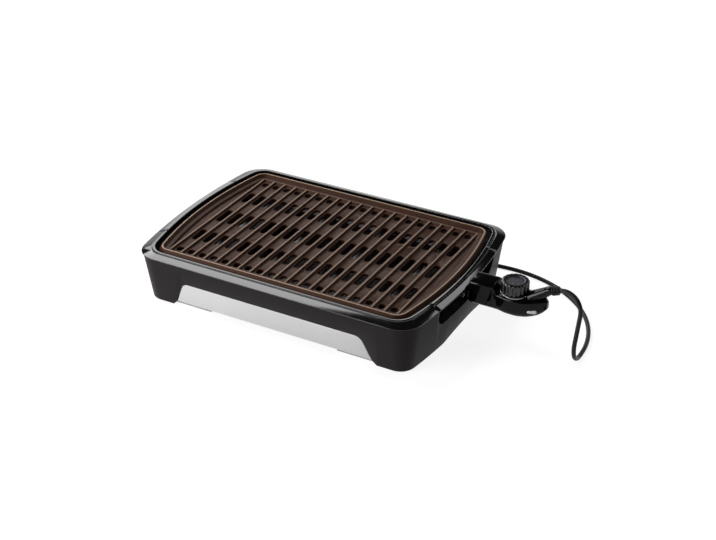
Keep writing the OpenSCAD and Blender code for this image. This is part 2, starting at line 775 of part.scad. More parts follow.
module lens_shape(grow, out) {
    r = lens_size.y / 2;
    translate(lens_at) rotate([0, 0, lens_turn]) rotate([90, 0, 0])
        translate([0, 0, -lens_t]) linear_extrude(lens_t + out) {
            square([lens_size.x - 2 * r, 2 * (r + grow)], center = true);
            for (s = [-1, 1]) translate([s * (lens_size.x / 2 - r), 0]) circle(r = r + grow);
        }
}

module probe_body() color([0.06, 0.06, 0.065]) place() difference() {
    body_blank();
    seam_cut(-1);
    lower_half();
    cavity_space();
    contact_bores();
    translate([dial_x, 0, cavity_top - 1]) cylinder(r = shaft_r + fit, h = 20);
    // Round seat for the collar, with room for the dial above it
    translate([dial_x, 0, deck_z]) cylinder(r = collar_r + 0.2, h = 40);
    lens_shape(fit_hole, 10);
    translate(relief_end) rotate([0, 90 - relief_up, 0]) translate([0, 0, -relief_l - 8])
        cylinder(r = cord_d / 2 + fit_hole, h = 20);
}

module probe_base() color([0.06, 0.06, 0.065]) place() difference() {
    intersection() {
        body_blank();
        lower_half();
    }
    seam_cut(-1);
    cavity_space();
    for (p = probe_screw_at) translate([p.x, p.y, 0]) {
        cylinder(r = screw_r + fit_hole, h = 100);
        cylinder(r = 3.4, h = screw_seat);
    }
}

probe_screw_at = [[seam_x + 6, 0], [dial_x + 28, 0]];
screw_seat = nose_bottom + 2.2;

module probe_screws() color("silver") place() for (p = probe_screw_at)
    translate([p.x, p.y, screw_seat - 2]) {
        cylinder(r = 3, h = 2);
        cylinder(r = screw_r, h = split_z - screw_seat + 2);
    }

switch_h = 10;

module thermostat_switch() color([0.55, 0.5, 0.42]) place() difference() {
    translate([cavity_x + 2, -cavity.y / 2 + 2, cavity_floor + fit])
        cube([cavity.x - 4, cavity.y - 4, switch_h]);
    translate([dial_x, 0, cavity_floor + 2]) cylinder(r = shaft_r + fit, h = 20);
}

module contact_sleeves() color([0.8, 0.68, 0.4]) place() for (s = [-1, 1])
    along_x(nose_x - 19, s * contact_y, contact_z) tube(sleeve_r, sleeve_bore, 44);

module sensor_rod() color("silver") place()
    along_x(nose_x - rod_l, 0, contact_z) cylinder(r = rod_r, h = rod_l + 26);

module pilot_lens() color([0.9, 0.9, 0.88]) place() lens_shape(0, 0);

collar_top = deck_z + collar_h;

module dial_collar() color([0.25, 0.25, 0.27]) place() translate([dial_x, 0, deck_z])
    difference() {
        rotate_extrude() polygon([[shaft_r + fit, 0], [collar_r - 0.8, 0], [collar_r, 0.8],
            [collar_r - 0.6, collar_h], [shaft_r + fit, collar_h]]);
    }

dial_z = collar_top + fit;
dial_wall = 2.2;
disc_sink = 2.4;

module control_dial() color([0.08, 0.08, 0.085]) place() translate([dial_x, 0, dial_z])
    difference() {
        union() {
            linear_extrude(dial_h - 1.2) difference() {
                circle(r = dial_r);
                for (i = [0 : flute_count - 1]) rotate(360 * i / flute_count)
                    translate([dial_r + flute_r * 0.45, 0]) circle(r = flute_r, $fn = 24);
            }
            translate([0, 0, dial_h - 1.2 - eps])
                cylinder(r1 = dial_r - 1, r2 = dial_r - 2.4, h = 1.2 + eps);
        }
        // Hollow underside round the hub
        translate([0, 0, -1]) difference() {
            cylinder(r = dial_r - flute_r - dial_wall, h = dial_h - 4);
            cylinder(r = shaft_r + 3, h = dial_h);
        }
        translate([0, 0, -1]) cylinder(r = shaft_r + 0.05, h = dial_h - 3);
        translate([0, 0, dial_h - disc_sink]) cylinder(r = disc_r, h = 5);
    }

// Inset disc with a raised pointer
module dial_disc() color([0.3, 0.32, 0.37]) place()
    translate([dial_x, 0, dial_z + dial_h - disc_sink]) {
        cylinder(r = disc_r - 0.2, h = 0.6);
        translate([0, -disc_r + 1.4, 0]) translate([-0.9, 0, 0]) cube([1.8, 7, 1]);
    }

module dial_shaft() color("silver") place() translate([dial_x, 0, cavity_floor + 3])
    cylinder(r = shaft_r, h = dial_z + dial_h - 4.4 - cavity_floor - 3);

// Mains lead

spigot_r = cord_d / 2;

// Ribbed guard that the lead leaves through, with a spigot in the neck
module strain_relief() color([0.05, 0.05, 0.05]) place() {
    rib_r = neck_r + 1;
    translate(relief_end) rotate([0, 90 - relief_up, 0]) translate([0, 0, -relief_l])
        rotate_extrude() polygon(concat([[0, -8], [spigot_r, -8], [spigot_r, 0]],
            [for (i = [0 : 3]) let (z = 1 + 2.6 * i, r = rib_r - 0.3 * i)
                each [[r, z], [r, z + 1.6], [r - 1, z + 1.8], [r - 1, z + 2.4]]],
            [[cord_d / 2 + 0.4, relief_l], [0, relief_l]]));
}

// The lead bends over and down to the table, crosses it and ends in a coil
lead_bend = 4.1 * cord_d;
rest_z = cord_d / 2;
lead_lean = 20;
over = 90 + relief_up;
over_y = -lead_bend * over * PI / 180 * tan(lead_lean) / 1.6;
over_centre = relief_end + along(2, relief_up)
    + [lead_bend * sin(relief_up), over_y, -lead_bend * cos(relief_up)];
low_centre_z = rest_z + lead_bend;
fall = over_centre.z - low_centre_z - lead_bend * sin(lead_lean);
low_centre_y = over_y - fall * tan(lead_lean) + lead_bend * cos(lead_lean);
lead_x = over_centre.x + lead_bend;
run_end = [235, 180];
lead_route = concat([relief_end],
    [for (i = [0 : 8]) let (t = i / 8, a = over * (1 - t))
        [over_centre.x + lead_bend * cos(a), over_y * pow(t, 1.6),
            over_centre.z + lead_bend * sin(a)]],
    [for (i = [1 : 3]) let (d = fall * i / 4)
        [lead_x, over_y - d * tan(lead_lean), over_centre.z - d]],
    [for (i = [0 : 8]) let (a = 180 - lead_lean + (90 + lead_lean) * i / 8)
        [lead_x, low_centre_y + lead_bend * cos(a), low_centre_z + lead_bend * sin(a)]],
    [for (i = [0 : 14]) let (a = 90 * i / 14)
        [run_end.x + (lead_x - run_end.x) * cos(a),
            low_centre_y + 3 + (run_end.y - low_centre_y - 3) * sin(a), rest_z]],
    [for (x = [214, 192, 170, 150, 132]) [x, run_end.y, rest_z]]);
tail_route = [[105, 190, 9.9], [92, 204, 10.6], [80, 215, 13], [68, 223, 16],
    [57, 227, 18], [48, 227, 18]];
coil_at = [130, 216, 0];

module cord_lead() color([0.05, 0.05, 0.05]) place()
    swept(lead_route, [for (p = lead_route) cord_d / 2], 10);

module cord_tail() color([0.05, 0.05, 0.05]) place()
    swept(tail_route, [for (p = tail_route) cord_d / 2], 10);

// Two layers of two turns
module cord_coil() color([0.05, 0.05, 0.05]) place() translate(coil_at) rotate_extrude()
    translate([coil_r - cord_d, 0]) square([2 * cord_d, 2 * cord_d]);

plug_axis = tail_route[len(tail_route) - 1];
pin_gap = 19;

module at_plug() {
    translate(plug_axis) rotate([0, -90, 0]) children();
}

module plug_body() color([0.06, 0.06, 0.06]) place() at_plug() difference() {
    rotate_extrude() polygon([[0, 0], [5, 0], [6, 9], [plug_r - 5, 13],
        [plug_r - 2, 15], [plug_r - 0.5, 19], [plug_r, 23], [plug_r, plug_l - 1],
        [plug_r - 1, plug_l], [0, plug_l]]);
    for (s = [-1, 1]) translate([0, s * pin_gap / 2, plug_l - 8]) cylinder(r = pin_r, h = 20);
}

pin_r = 2.4;

module plug_pins() color("silver") place() at_plug() for (s = [-1, 1])
    translate([0, s * pin_gap / 2, plug_l - 8]) cylinder(r = pin_r, h = 27);

base_shell();
top_frame();
handle_left();
handle_right();
inner_frame();
bottom_plate();
rubber_feet();
housing_screws();
plate_pads();
heat_reflector();
element_straps();
heating_element();
terminal_beads();
terminal_pins();
terminal_guard();
grill_plate();
drip_tray();
tray_bracket();
tray_front();
probe_nose();
probe_body();
probe_base();
probe_screws();
thermostat_switch();
contact_sleeves();
sensor_rod();
pilot_lens();
dial_collar();
control_dial();
dial_disc();
dial_shaft();
strain_relief();
cord_lead();
cord_coil();
cord_tail();
plug_body();
plug_pins();
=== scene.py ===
"""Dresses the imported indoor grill: housing, ribbed plate, tray, plug-in control, lead, finishes."""
import json
from math import asin, atan2, cos, pi, radians, sin, sqrt, tan

import bmesh
import bpy
import numpy as np
from mathutils import Matrix, Vector


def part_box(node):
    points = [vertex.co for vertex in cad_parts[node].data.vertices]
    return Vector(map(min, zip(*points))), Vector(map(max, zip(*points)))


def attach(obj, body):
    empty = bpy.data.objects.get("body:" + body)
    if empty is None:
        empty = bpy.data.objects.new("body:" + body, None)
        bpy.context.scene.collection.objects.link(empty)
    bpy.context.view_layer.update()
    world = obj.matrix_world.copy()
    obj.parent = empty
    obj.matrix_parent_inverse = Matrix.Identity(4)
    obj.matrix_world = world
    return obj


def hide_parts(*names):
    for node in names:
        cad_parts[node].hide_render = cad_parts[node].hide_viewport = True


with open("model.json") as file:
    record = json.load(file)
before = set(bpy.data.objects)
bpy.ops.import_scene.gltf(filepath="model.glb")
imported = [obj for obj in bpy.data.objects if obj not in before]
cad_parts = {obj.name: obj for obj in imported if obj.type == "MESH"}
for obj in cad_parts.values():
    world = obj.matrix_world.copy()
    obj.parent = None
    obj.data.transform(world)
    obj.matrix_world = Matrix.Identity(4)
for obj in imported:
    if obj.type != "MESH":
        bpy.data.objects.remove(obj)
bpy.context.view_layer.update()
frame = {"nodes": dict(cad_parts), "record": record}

# Shapes are drawn in millimetres, with X measured from the grill's middle.
MM = 0.001
PLATE_LOW, PLATE_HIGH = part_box("grill_plate")
CENTRE_X = (PLATE_LOW.x + PLATE_HIGH.x) / 2 / MM


def node_mm(name):
    """Lowest and highest corner of a CAD node in millimetres."""
    low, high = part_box(name)
    return [Vector((p.x / MM - CENTRE_X, p.y / MM, p.z / MM)) for p in (low, high)]


def placed(point):
    """A point of the grill in the scene's metres."""
    x, y, z = point
    return Vector(((x + CENTRE_X) * MM, y * MM, z * MM))


# ---- sizes shared by the pieces

RIM_Z = node_mm("grill_plate")[1].z
CREST_HALF = Vector((220.0, 143.5))  # from the middle to the crest of the plate's rim
SIDE_RADIUS, CORNER_RADIUS, LEAST_CORNER = 600.0, 16.0, 4.0
FRAME_LOW, FRAME_HIGH = node_mm("top_frame")
FRAME_Z, LIP_Z = FRAME_LOW.z, FRAME_HIGH.z
LIP_OFF = 10.6  # offsets are measured outwards from the crest
FRAME_OFF = FRAME_HIGH.y - CREST_HALF.y
FRAME_RADIUS, FRAME_CORNER = 890.0, 37.0
HANDLE_HALF = node_mm("handle_right")[1].y
HANDLE_JOINT = 0.5
FRAME_START = HANDLE_HALF + HANDLE_JOINT
SIDE_STEPS, HANDLE_STEPS, CORNER_STEPS, LONG_STEPS = 14, 36, 14, 10

MERGE, SLIVER = 0.00001, 0.000001  # metres
FILLET_STEPS, FILLET_SHARE = 4, 0.49  # a fillet takes at most this share of an edge


# ---- mesh helpers

def in_scene(name, data):
    """A new object in the scene."""
    made = bpy.data.objects.new(name, data)
    bpy.context.scene.collection.objects.link(made)
    return made


def shade(piece, angle):
    """Smooth shading with edges over the angle kept sharp."""
    piece.data.polygons.foreach_set("use_smooth", [True] * len(piece.data.polygons))
    piece.data.set_sharp_from_angle(angle=radians(angle))
    return piece


def loft(name, loops, ring=False, smooth=35):
    """A piece of quads between equal loops; its ends are closed unless it runs round in a ring."""
    count, size = len(loops), len(loops[0])
    faces = []
    for i in range(count if ring else count - 1):
        a, b = i * size, (i + 1) % count * size
        for j in range(size):
            k = (j + 1) % size
            faces.append((a + j, a + k, b + k, b + j))
    if not ring:
        faces.append(tuple(range(size)))
        faces.append(tuple((count - 1) * size + j for j in reversed(range(size))))
    data = bpy.data.meshes.new(name)
    data.from_pydata([placed(point) for loop in loops for point in loop], [], faces)
    bm = bmesh.new()
    bm.from_mesh(data)
    bmesh.ops.remove_doubles(bm, verts=bm.verts, dist=MERGE)
    bmesh.ops.dissolve_degenerate(bm, edges=bm.edges, dist=SLIVER)
    bmesh.ops.recalc_face_normals(bm, faces=bm.faces)
    bm.to_mesh(data)
    bm.free()
    return shade(in_scene(name, data), smooth)


def apply_modifiers(piece):
    """Turns the evaluated piece into its own plain mesh."""
    bpy.context.view_layer.update()
    graph = bpy.context.evaluated_depsgraph_get()
    made = bpy.data.meshes.new_from_object(piece.evaluated_get(graph))
    piece.modifiers.clear()
    piece.data = made
    return piece


def cut(piece, *cutters, operation="DIFFERENCE"):
    """Cuts the piece with each cutter, and removes the cutters."""
    for cutter in cutters:
        step = piece.modifiers.new("cut", "BOOLEAN")
        step.operation = operation
        step.solver = "EXACT"
        step.object = cutter
    apply_modifiers(piece)
    for cutter in cutters:
        bpy.data.objects.remove(cutter)
    return piece


def soften(piece, width, angle, segments=2):
    """Rounds the edges over an angle by a width."""
    step = piece.modifiers.new("soften", "BEVEL")
    step.width = width * MM
    step.segments = segments
    step.limit_method = "ANGLE"
    step.angle_limit = radians(angle)
    step.use_clamp_overlap = True
    return shade(apply_modifiers(piece), angle)


def join(name, pieces):
    """One piece from several plain meshes."""
    bm = bmesh.new()
    for piece in pieces:
        bm.from_mesh(piece.data)
    data = bpy.data.meshes.new(name)
    bm.to_mesh(data)
    bm.free()
    for piece in pieces:
        bpy.data.objects.remove(piece)
    return in_scene(name, data)


# ---- outlines and their places

def rectangle(u0, v0, u1, v1):
    """Outline of a rectangle from two of its corners."""
    return [(u0, v0), (u1, v0), (u1, v1), (u0, v1)]


def arc(cx, cy, radius, start, end, steps):
    """Points on an arc between two angles in radians."""
    return [(cx + radius * cos(a), cy + radius * sin(a)) for a in np.linspace(start, end, steps)]


def fillet(corners, radii):
    """Rounds a polygon's corners, each by its own radius."""
    rounded = []
    for i, radius in enumerate(radii):
        here = Vector(corners[i])
        if radius <= 0:
            rounded.append(tuple(here))
            continue
        back, ahead = Vector(corners[i - 1]) - here, Vector(corners[(i + 1) % len(corners)]) - here
        run = min(radius / tan(back.angle(ahead) / 2),
                  FILLET_SHARE * back.length, FILLET_SHARE * ahead.length)
        start, end = here + back.normalized() * run, here + ahead.normalized() * run
        for s in range(FILLET_STEPS + 1):
            t = s / FILLET_STEPS
            rounded.append(tuple(start.lerp(here, t).lerp(here.lerp(end, t), t)))
    return rounded


def from_above(z, x=0.0):
    """Places an outline seen from above; its depth goes up from a height."""
    return lambda u, v, w: (x + u, v, z + w)


def from_front(y, z=0.0):
    """Places an outline seen from the front; its depth goes back."""
    return lambda u, v, w: (u, y + w, z + v)


def from_side(x, side=1):
    """Places an outline seen from the left; its depth goes outwards on one side of the grill."""
    return lambda u, v, w: (side * (x + w), u, v)


def prism(name, outline, place, depth):
    """Extrudes an outline of (u, v) points; place(u, v, w) gives each point of the grill."""
    return loft(name, [[place(u, v, w) for u, v in outline] for w in (0, depth)])


def cutter(outline, place, depth):
    """A prism that is only used to cut."""
    return prism("cutter", outline, place, depth)


def block(low, high):
    """A plain box that is only used to cut."""
    (x0, y0, z0), (x1, y1, z1) = low, high
    return cutter(rectangle(x0, y0, x1, y1), from_above(z0), z1 - z0)


# ---- outline of the grill

def plate_bow(off):
    """Side and corner radius at an offset; past the lip they ease into the frame's."""
    if off <= LIP_OFF:
        return SIDE_RADIUS + off, max(CORNER_RADIUS + off, LEAST_CORNER)
    share = (off - LIP_OFF) / (FRAME_OFF - LIP_OFF)
    side, corner = SIDE_RADIUS + LIP_OFF, CORNER_RADIUS + LIP_OFF
    return side + (FRAME_RADIUS - side) * share, corner + (FRAME_CORNER - corner) * share


def wall_bow(off):
    """Side and corner radius of the walls, which keep to the frame's outer edge."""
    return FRAME_RADIUS + off - FRAME_OFF, FRAME_CORNER + off - FRAME_OFF


def side_arc(off, y_from, y_to, steps, bow=plate_bow):
    """Points on the bowed right side between two distances from the middle."""
    big = bow(off)[0]
    start, end = asin(y_from / big), asin(y_to / big)
    return arc(CREST_HALF.x + off - big, 0, big, start, end, steps)


def quarter(off, y_from=0.0, bow=plate_bow):
    """From the right side round the corner to the middle of the back."""
    big, radius = bow(off)
    cy = CREST_HALF.y + off - radius
    turn = asin(cy / (big - radius))
    cx = CREST_HALF.x + off - big + (big - radius) * cos(turn)
    side = side_arc(off, y_from, big * sin(turn), SIDE_STEPS, bow)[:-1]
    back = [(x, cy + radius) for x in np.linspace(cx, 0, LONG_STEPS)[1:]]
    return side + arc(cx, cy, radius, turn, pi / 2, CORNER_STEPS) + back


def half_loop(off, y_from=0.0, bow=plate_bow):
    """From the right side over the back to the left side."""
    right = quarter(off, y_from, bow)
    return right + [(-x, y) for x, y in reversed(right[:-1])]


def whole_loop(off, bow=plate_bow):
    """The closed outline at an offset from the plate's crest."""
    back = half_loop(off, bow=bow)
    return back + [(-x, -y) for x, y in back[1:-1]]


# ---- frame and handles

FRAME_LIP, HANDLE_LIP = 3.4, 6.0
HANDLE_ROOT, HANDLE_DROP = LIP_OFF + 2.5, 2.4
RIM_EDGE, RIM_EDGE_ANGLE = 0.45, 60


def rim_section(under, under_radii, lip):
    """Section of the rim: its underside, a bevel that slopes outwards, a groove and a flat lip."""
    groove = LIP_OFF + lip
    corners = [(LIP_OFF, FRAME_Z), *under, (FRAME_OFF - 0.2, FRAME_Z + 1.9),
               (groove + 1.6, LIP_Z - 2.1), (groove + 0.3, LIP_Z - 2.4), (groove, LIP_Z),
               (LIP_OFF, LIP_Z)]
    return fillet(corners, [0, *under_radii, 0.7, 0.5, 0.3, 0.7, 0.9])


def rim_length(name, section, path, turn):
    """A length of rim: the section drawn along its path, and turned half round by a turn of -1."""
    rows = [[(turn * x, turn * y, z) for x, y in path(off)] for off, z in section]
    return loft(name, list(map(list, zip(*rows))))


def top_frame():
    """Two U-shaped halves of the frame, between the handles."""
    section = rim_section([(FRAME_OFF - 1.2, FRAME_Z), (FRAME_OFF, FRAME_Z + 1.0)],
                          [0.6, 0.7], FRAME_LIP)
    halves = [rim_length("half", section, lambda off: half_loop(off, FRAME_START), turn)
              for turn in (1, -1)]
    return soften(join("frame_rim", halves), RIM_EDGE, RIM_EDGE_ANGLE)


def handle(name, turn):
    """One end of the frame, with a rounded grip under its outer edge."""
    under = [(HANDLE_ROOT, FRAME_Z), (HANDLE_ROOT, FRAME_Z - HANDLE_DROP),
             (FRAME_OFF - 6, FRAME_Z - HANDLE_DROP), (FRAME_OFF - 2.5, FRAME_Z - 1.4),
             (FRAME_OFF, FRAME_Z + 0.9)]
    section = rim_section(under, [0, 0, 2, 1.2, 1.2], HANDLE_LIP)
    piece = rim_length(
        name, section, lambda off: side_arc(off, -HANDLE_HALF, HANDLE_HALF, HANDLE_STEPS), turn)
    return soften(piece, RIM_EDGE, RIM_EDGE_ANGLE)


# ---- walls and silver front

WALL_OFF, WALL_T = 24.2, 2.6
WALL_LEAN = radians(8)
WALL_FOOT_Z, WALL_TOE_Z, WALL_TOE = 1, 2.2, 1.0
WALL_EDGE = 0.5
FRONT_HALF, FRONT_TOP_HALF, FRONT_LOW, FRONT_TOP, FRONT_R = 166.0, 150.0, 9.5, 46.0, 14.0
FRONT_GAP, FRONT_SINK, FRONT_T, FRONT_EDGE, FRONT_STEPS = 0.8, 0.4, 1.8, 0.5, 12
CUT_AHEAD, CUT_THROUGH, CUT_INSIDE, CUT_OUTSIDE = 6, 36, 25, 5  # cutters pass the walls
FRONT_ARCH = (FRONT_HALF + FRONT_GAP, FRONT_LOW - 0.5, 9)  # half width, rise, ramp
BACK_ARCH, BACK_CUT_Y, BACK_CUT_L = (130, 5, 10), 130, 60
SIDE_ARCH_HALF, SIDE_ARCH_RISE, SIDE_ARCH_STEPS = 68, 9.5, 24
GRIP_HALF, GRIP_LOW, GRIP_R, GRIP_STEPS, GRIP_OVER = 92.0, 45.5, 20.0, 10, 3
SEAT_DROP, SEAT_OVER = 2.7, 5  # the handles sit in notches of the walls
ARCH_UNDER = -2  # arches are cut from below the walls


def wall_off(z):
    """Offset of the leaning walls' outside at a height."""
    return WALL_OFF - tan(WALL_LEAN) * (FRAME_Z - z)


def on_front(start):
    """Places an outline on the leaning front wall: u across, v up the slope, depth inwards."""
    def place(u, v, w):
        depth = w + start
        y = -(CREST_HALF.y + wall_off(0)) - v * sin(WALL_LEAN) + depth * cos(WALL_LEAN)
        return (u, y, v * cos(WALL_LEAN) + depth * sin(WALL_LEAN))
    return place


def front_outline(grow, low):
    """The silver front's outline, grown by a gap and cut off at a height."""
    lean = atan2(FRONT_HALF - FRONT_TOP_HALF, FRONT_TOP - FRONT_LOW)
    reach = FRONT_HALF * cos(lean) + FRONT_LOW * sin(lean)
    cz, radius = FRONT_TOP - FRONT_R, FRONT_R + grow
    cx = (reach - FRONT_R - cz * sin(lean)) / cos(lean)
    half = [((reach + grow - low * sin(lean)) / cos(lean), low)]
    half += arc(cx, cz, radius, lean, pi / 2, FRONT_STEPS)
    return half + [(-u, v) for u, v in reversed(half)]


def arch(half, rise, ramp):
    """Outline of a low arch cut out of a wall's lower edge."""
    return [(-half - ramp, ARCH_UNDER), (half + ramp, ARCH_UNDER), (half + ramp, 0), (half, rise),
            (-half, rise), (-half - ramp, 0)]


def rounded_arch():
    """Outline of the sides' low arch, which is part of a circle."""
    half, rise = SIDE_ARCH_HALF, SIDE_ARCH_RISE
    radius = (half ** 2 + rise ** 2) / (2 * rise)
    turn = asin(half / radius)
    return [(-half, ARCH_UNDER), (half, ARCH_UNDER)] + [
        (radius * sin(a), rise - radius + radius * cos(a))
        for a in np.linspace(turn, -turn, SIDE_ARCH_STEPS)]


def grip_outline():
    """Outline of the opening for the fingers."""
    left = arc(GRIP_R - GRIP_HALF, GRIP_LOW + GRIP_R, GRIP_R, pi, 1.5 * pi, GRIP_STEPS)
    top = FRAME_Z + GRIP_OVER
    return left + [(-y, z) for y, z in reversed(left)] + [(GRIP_HALF, top), (-GRIP_HALF, top)]


def base_shell():
    """The walls of the housing, with the openings for the tray and the fingers."""
    foot, top = wall_off(WALL_FOOT_Z), wall_off(FRAME_Z)
    section = fillet([(foot - WALL_TOE, WALL_FOOT_Z), (wall_off(WALL_TOE_Z), WALL_TOE_Z),
                      (top, FRAME_Z), (top - WALL_T, FRAME_Z), (foot - WALL_T, WALL_FOOT_Z)],
                     [0.5, 0.8, 0, 0, 0])
    piece = loft("housing_walls", [[(x, y, z) for x, y in whole_loop(off, wall_bow)]
                                   for off, z in section], ring=True)
    cutters = [
        cutter(front_outline(FRONT_GAP, FRONT_LOW + ARCH_UNDER), on_front(-CUT_AHEAD), CUT_THROUGH),
        cutter(arch(*FRONT_ARCH), on_front(-CUT_AHEAD), CUT_THROUGH),
        cutter(arch(*BACK_ARCH), from_front(BACK_CUT_Y), BACK_CUT_L)]
    inner, outer = CREST_HALF.x - CUT_INSIDE, CREST_HALF.x + FRAME_OFF + CUT_OUTSIDE
    for side in (1, -1):
        for outline in (grip_outline(), rounded_arch()):
            cutters.append(cutter(outline, from_side(inner, side), outer - inner))
        near, far = sorted((side * inner, side * outer))
        cutters.append(block((near, -FRAME_START, FRAME_Z - SEAT_DROP),
                             (far, FRAME_START, FRAME_Z + SEAT_OVER)))
    return soften(cut(piece, *cutters), WALL_EDGE, angle=40)


def silver_front():
    """The satin silver face of the drip tray."""
    piece = prism("silver_front", front_outline(0, FRONT_LOW), on_front(FRONT_SINK), FRONT_T)
    return soften(piece, FRONT_EDGE, angle=50, segments=3)


# ---- node trees

def feed(tree, node, inputs):
    """Sets a node's inputs to values, or joins them to sockets or to nodes' first outputs."""
    for key, value in inputs.items():
        if isinstance(value, bpy.types.Node):
            value = value.outputs[0]
        if isinstance(value, bpy.types.NodeSocket):
            tree.links.new(value, node.inputs[key])
        else:
            node.inputs[key].default_value = value


def add(tree, kind, inputs=None, **settings):
    """Adds a node with its settings and inputs."""
    node = tree.nodes.new(kind)
    for name, value in settings.items():
        setattr(node, name, value)
    feed(tree, node, inputs or {})
    return node


def maths(tree, operation, first, second):
    """Works out one value from two."""
    return add(tree, "ShaderNodeMath", {0: first, 1: second}, operation=operation)


def even_row(material):
    """Tree that copies a piece along X, evenly about its middle, by a count and a pitch."""
    tree = bpy.data.node_groups.new("even_row", "GeometryNodeTree")
    keys = {label: tree.interface.new_socket(
        label, in_out="INPUT", socket_type="NodeSocket" + kind).identifier
        for label, kind in (("Piece", "Geometry"), ("Copies", "Int"), ("Pitch", "Float"))}
    tree.interface.new_socket("Row", in_out="OUTPUT", socket_type="NodeSocketGeometry")
    piece, copies, pitch = add(tree, "NodeGroupInput").outputs[:3]
    span = maths(tree, "MULTIPLY", maths(tree, "SUBTRACT", copies, 1), pitch)
    start = add(tree, "ShaderNodeCombineXYZ", {"X": maths(tree, "MULTIPLY", span, -0.5)})
    step = add(tree, "ShaderNodeCombineXYZ", {"X": pitch})
    line = add(tree, "GeometryNodeMeshLine",
               {"Count": copies, "Start Location": start, "Offset": step})
    row = add(tree, "GeometryNodeInstanceOnPoints", {"Points": line, "Instance": piece})
    row = add(tree, "GeometryNodeRealizeInstances", {0: row})
    row = add(tree, "GeometryNodeSetMaterial", {0: row, "Material": material})
    add(tree, "NodeGroupOutput", {0: row})
    return tree, keys


def in_a_row(piece, copies, pitch, material):
    """Repeats a piece along X and leaves a plain mesh."""
    tree, keys = even_row(material)
    step = piece.modifiers.new("row", "NODES")
    step.node_group = tree
    step[keys["Copies"]] = copies
    step[keys["Pitch"]] = pitch * MM
    piece.data.update()
    return apply_modifiers(piece)


# ---- round and swept forms

def round_loop(middle, side, up, radius, steps):
    """A circle of points about a middle, across two directions."""
    return [tuple(middle + (side * cos(a) + up * sin(a)) * radius)
            for a in np.linspace(0, 2 * pi, steps, endpoint=False)]


def turned(name, profile, foot, axis=(0, 0, 1), steps=48, ring=False, smooth=35):
    """Turns a profile of (radius, height) points about an axis from its foot."""
    axis = Vector(axis).normalized()
    side = axis.orthogonal().normalized()
    loops = [round_loop(Vector(foot) + axis * height, side, axis.cross(side), radius, steps)
             for radius, height in profile]
    return loft(name, loops, ring, smooth)


def smooth_route(points, per_step):
    """Centripetal Catmull-Rom curve through the points."""
    given = [Vector(p) for p in points]
    ends = [given[0] * 2 - given[1]] + given + [given[-1] * 2 - given[-2]]
    made = []
    for p0, p1, p2, p3 in zip(ends, ends[1:], ends[2:], ends[3:]):
        t1 = sqrt((p1 - p0).length)
        t2 = t1 + sqrt((p2 - p1).length)
        t3 = t2 + sqrt((p3 - p2).length)
        for i in range(per_step):
            t = t1 + (t2 - t1) * i / per_step
            a1 = p0.lerp(p1, t / t1)
            a2 = p1.lerp(p2, (t - t1) / (t2 - t1))
            a3 = p2.lerp(p3, (t - t2) / (t3 - t2))
            b1 = a1.lerp(a2, t / t2)
            b2 = a2.lerp(a3, (t - t1) / (t3 - t1))
            made.append(b1.lerp(b2, (t - t1) / (t2 - t1)))
    return made + given[-1:]


def eased(stations, steps):
    """Stations between the given ones, eased by monotone cubics so nothing overshoots."""
    table = np.array(stations, float)
    x, y = table[:, 0], table[:, 1:]
    run = np.diff(x)[:, None]
    slope = np.diff(y, axis=0) / run
    lean = np.zeros_like(y)
    for i in range(1, len(x) - 1):
        before, after = slope[i - 1], slope[i]
        same = before * after > 0
        w1, w2 = 2 * run[i] + run[i - 1], run[i] + 2 * run[i - 1]
        mean = np.divide(w1 + w2, w1 / np.where(same, before, 1) + w2 / np.where(same, after, 1))
        lean[i] = np.where(same, mean, 0)
    lean[0], lean[-1] = slope[0], slope[-1]
    rows = []
    for i, h in enumerate(run):
        for t in np.linspace(0, 1, steps, endpoint=False):
            value = ((2 * t ** 3 - 3 * t ** 2 + 1) * y[i] + (t ** 3 - 2 * t ** 2 + t) * h * lean[i]
                     + (3 * t ** 2 - 2 * t ** 3) * y[i + 1] + (t ** 3 - t ** 2) * h * lean[i + 1])
            rows.append([x[i] + t * h[0], *value])
    return rows + [stations[-1]]


# ---- grill plate

FLOOR_Z = RIM_Z - 8.5
PLATE_UNDER = FLOOR_Z - 4.0
PLATE_EDGE, PLATE_SMOOTH = 0.35, 38
RIB_COUNT, RIB_MARGIN = 20, 27.6
RIB_PITCH = (2 * CREST_HALF.x - 2 * RIB_MARGIN) / (RIB_COUNT - 1)
RIB_ROOT, RIB_TOP, RIB_H, RIB_FLARE = 5.4, 3.0, 3.2, 0.7
RIB_HALF = CREST_HALF.y - 10.0
SLOT_W, SLOT_STEPS, SLOT_BELOW, SLOT_DEPTH = 10.4, 12, 2, 10
SLOT_ROWS = [(0.0, 40.0), (69.0, 34.0), (120.25, 13.5)]  # distance from the middle, length
FOOT_PROFILE, FOOT_Z = [(4.2, 0), (4.2, 5)], PLATE_UNDER - 3
FOOT_SIDE_Y, FOOT_BACK_X, FOOT_INSET = 96, 60, 4


def pan_section():
    """Underside, rolled rim, ledge and well wall as offsets from the crest and heights."""
    low, top = PLATE_UNDER, RIM_Z
    corners = [(-13, low), (0, low + 2.7), (3.5, low + 4.2), (4.8, low + 5.6), (4.6, low + 7.2),
               (1.0, top - 0.4), (-1.4, top), (-4.6, top - 4.9), (-10.2, top - 5.1),
               (-12, FLOOR_Z), (-13, FLOOR_Z)]
    return fillet(corners, [0, 2, 1.5, 1, 1, 1.2, 1.4, 0.8, 0.9, 0.8, 0])


def rib_section():
    """Section of a rib: a rounded crown on a foot that flares into the floor."""
    foot = RIB_ROOT / 2 + RIB_FLARE
    right = [(foot, -1), (foot, 0.05), (RIB_ROOT / 2 - 0.2, 0.5), (RIB_TOP / 2, RIB_H)]
    corners = [(-foot, -1)] + right + [(-u, v) for u, v in reversed(right[1:])]
    return fillet(corners, [0, 0, 0, 0.6, 0.9, 0.9, 0.6, 0])


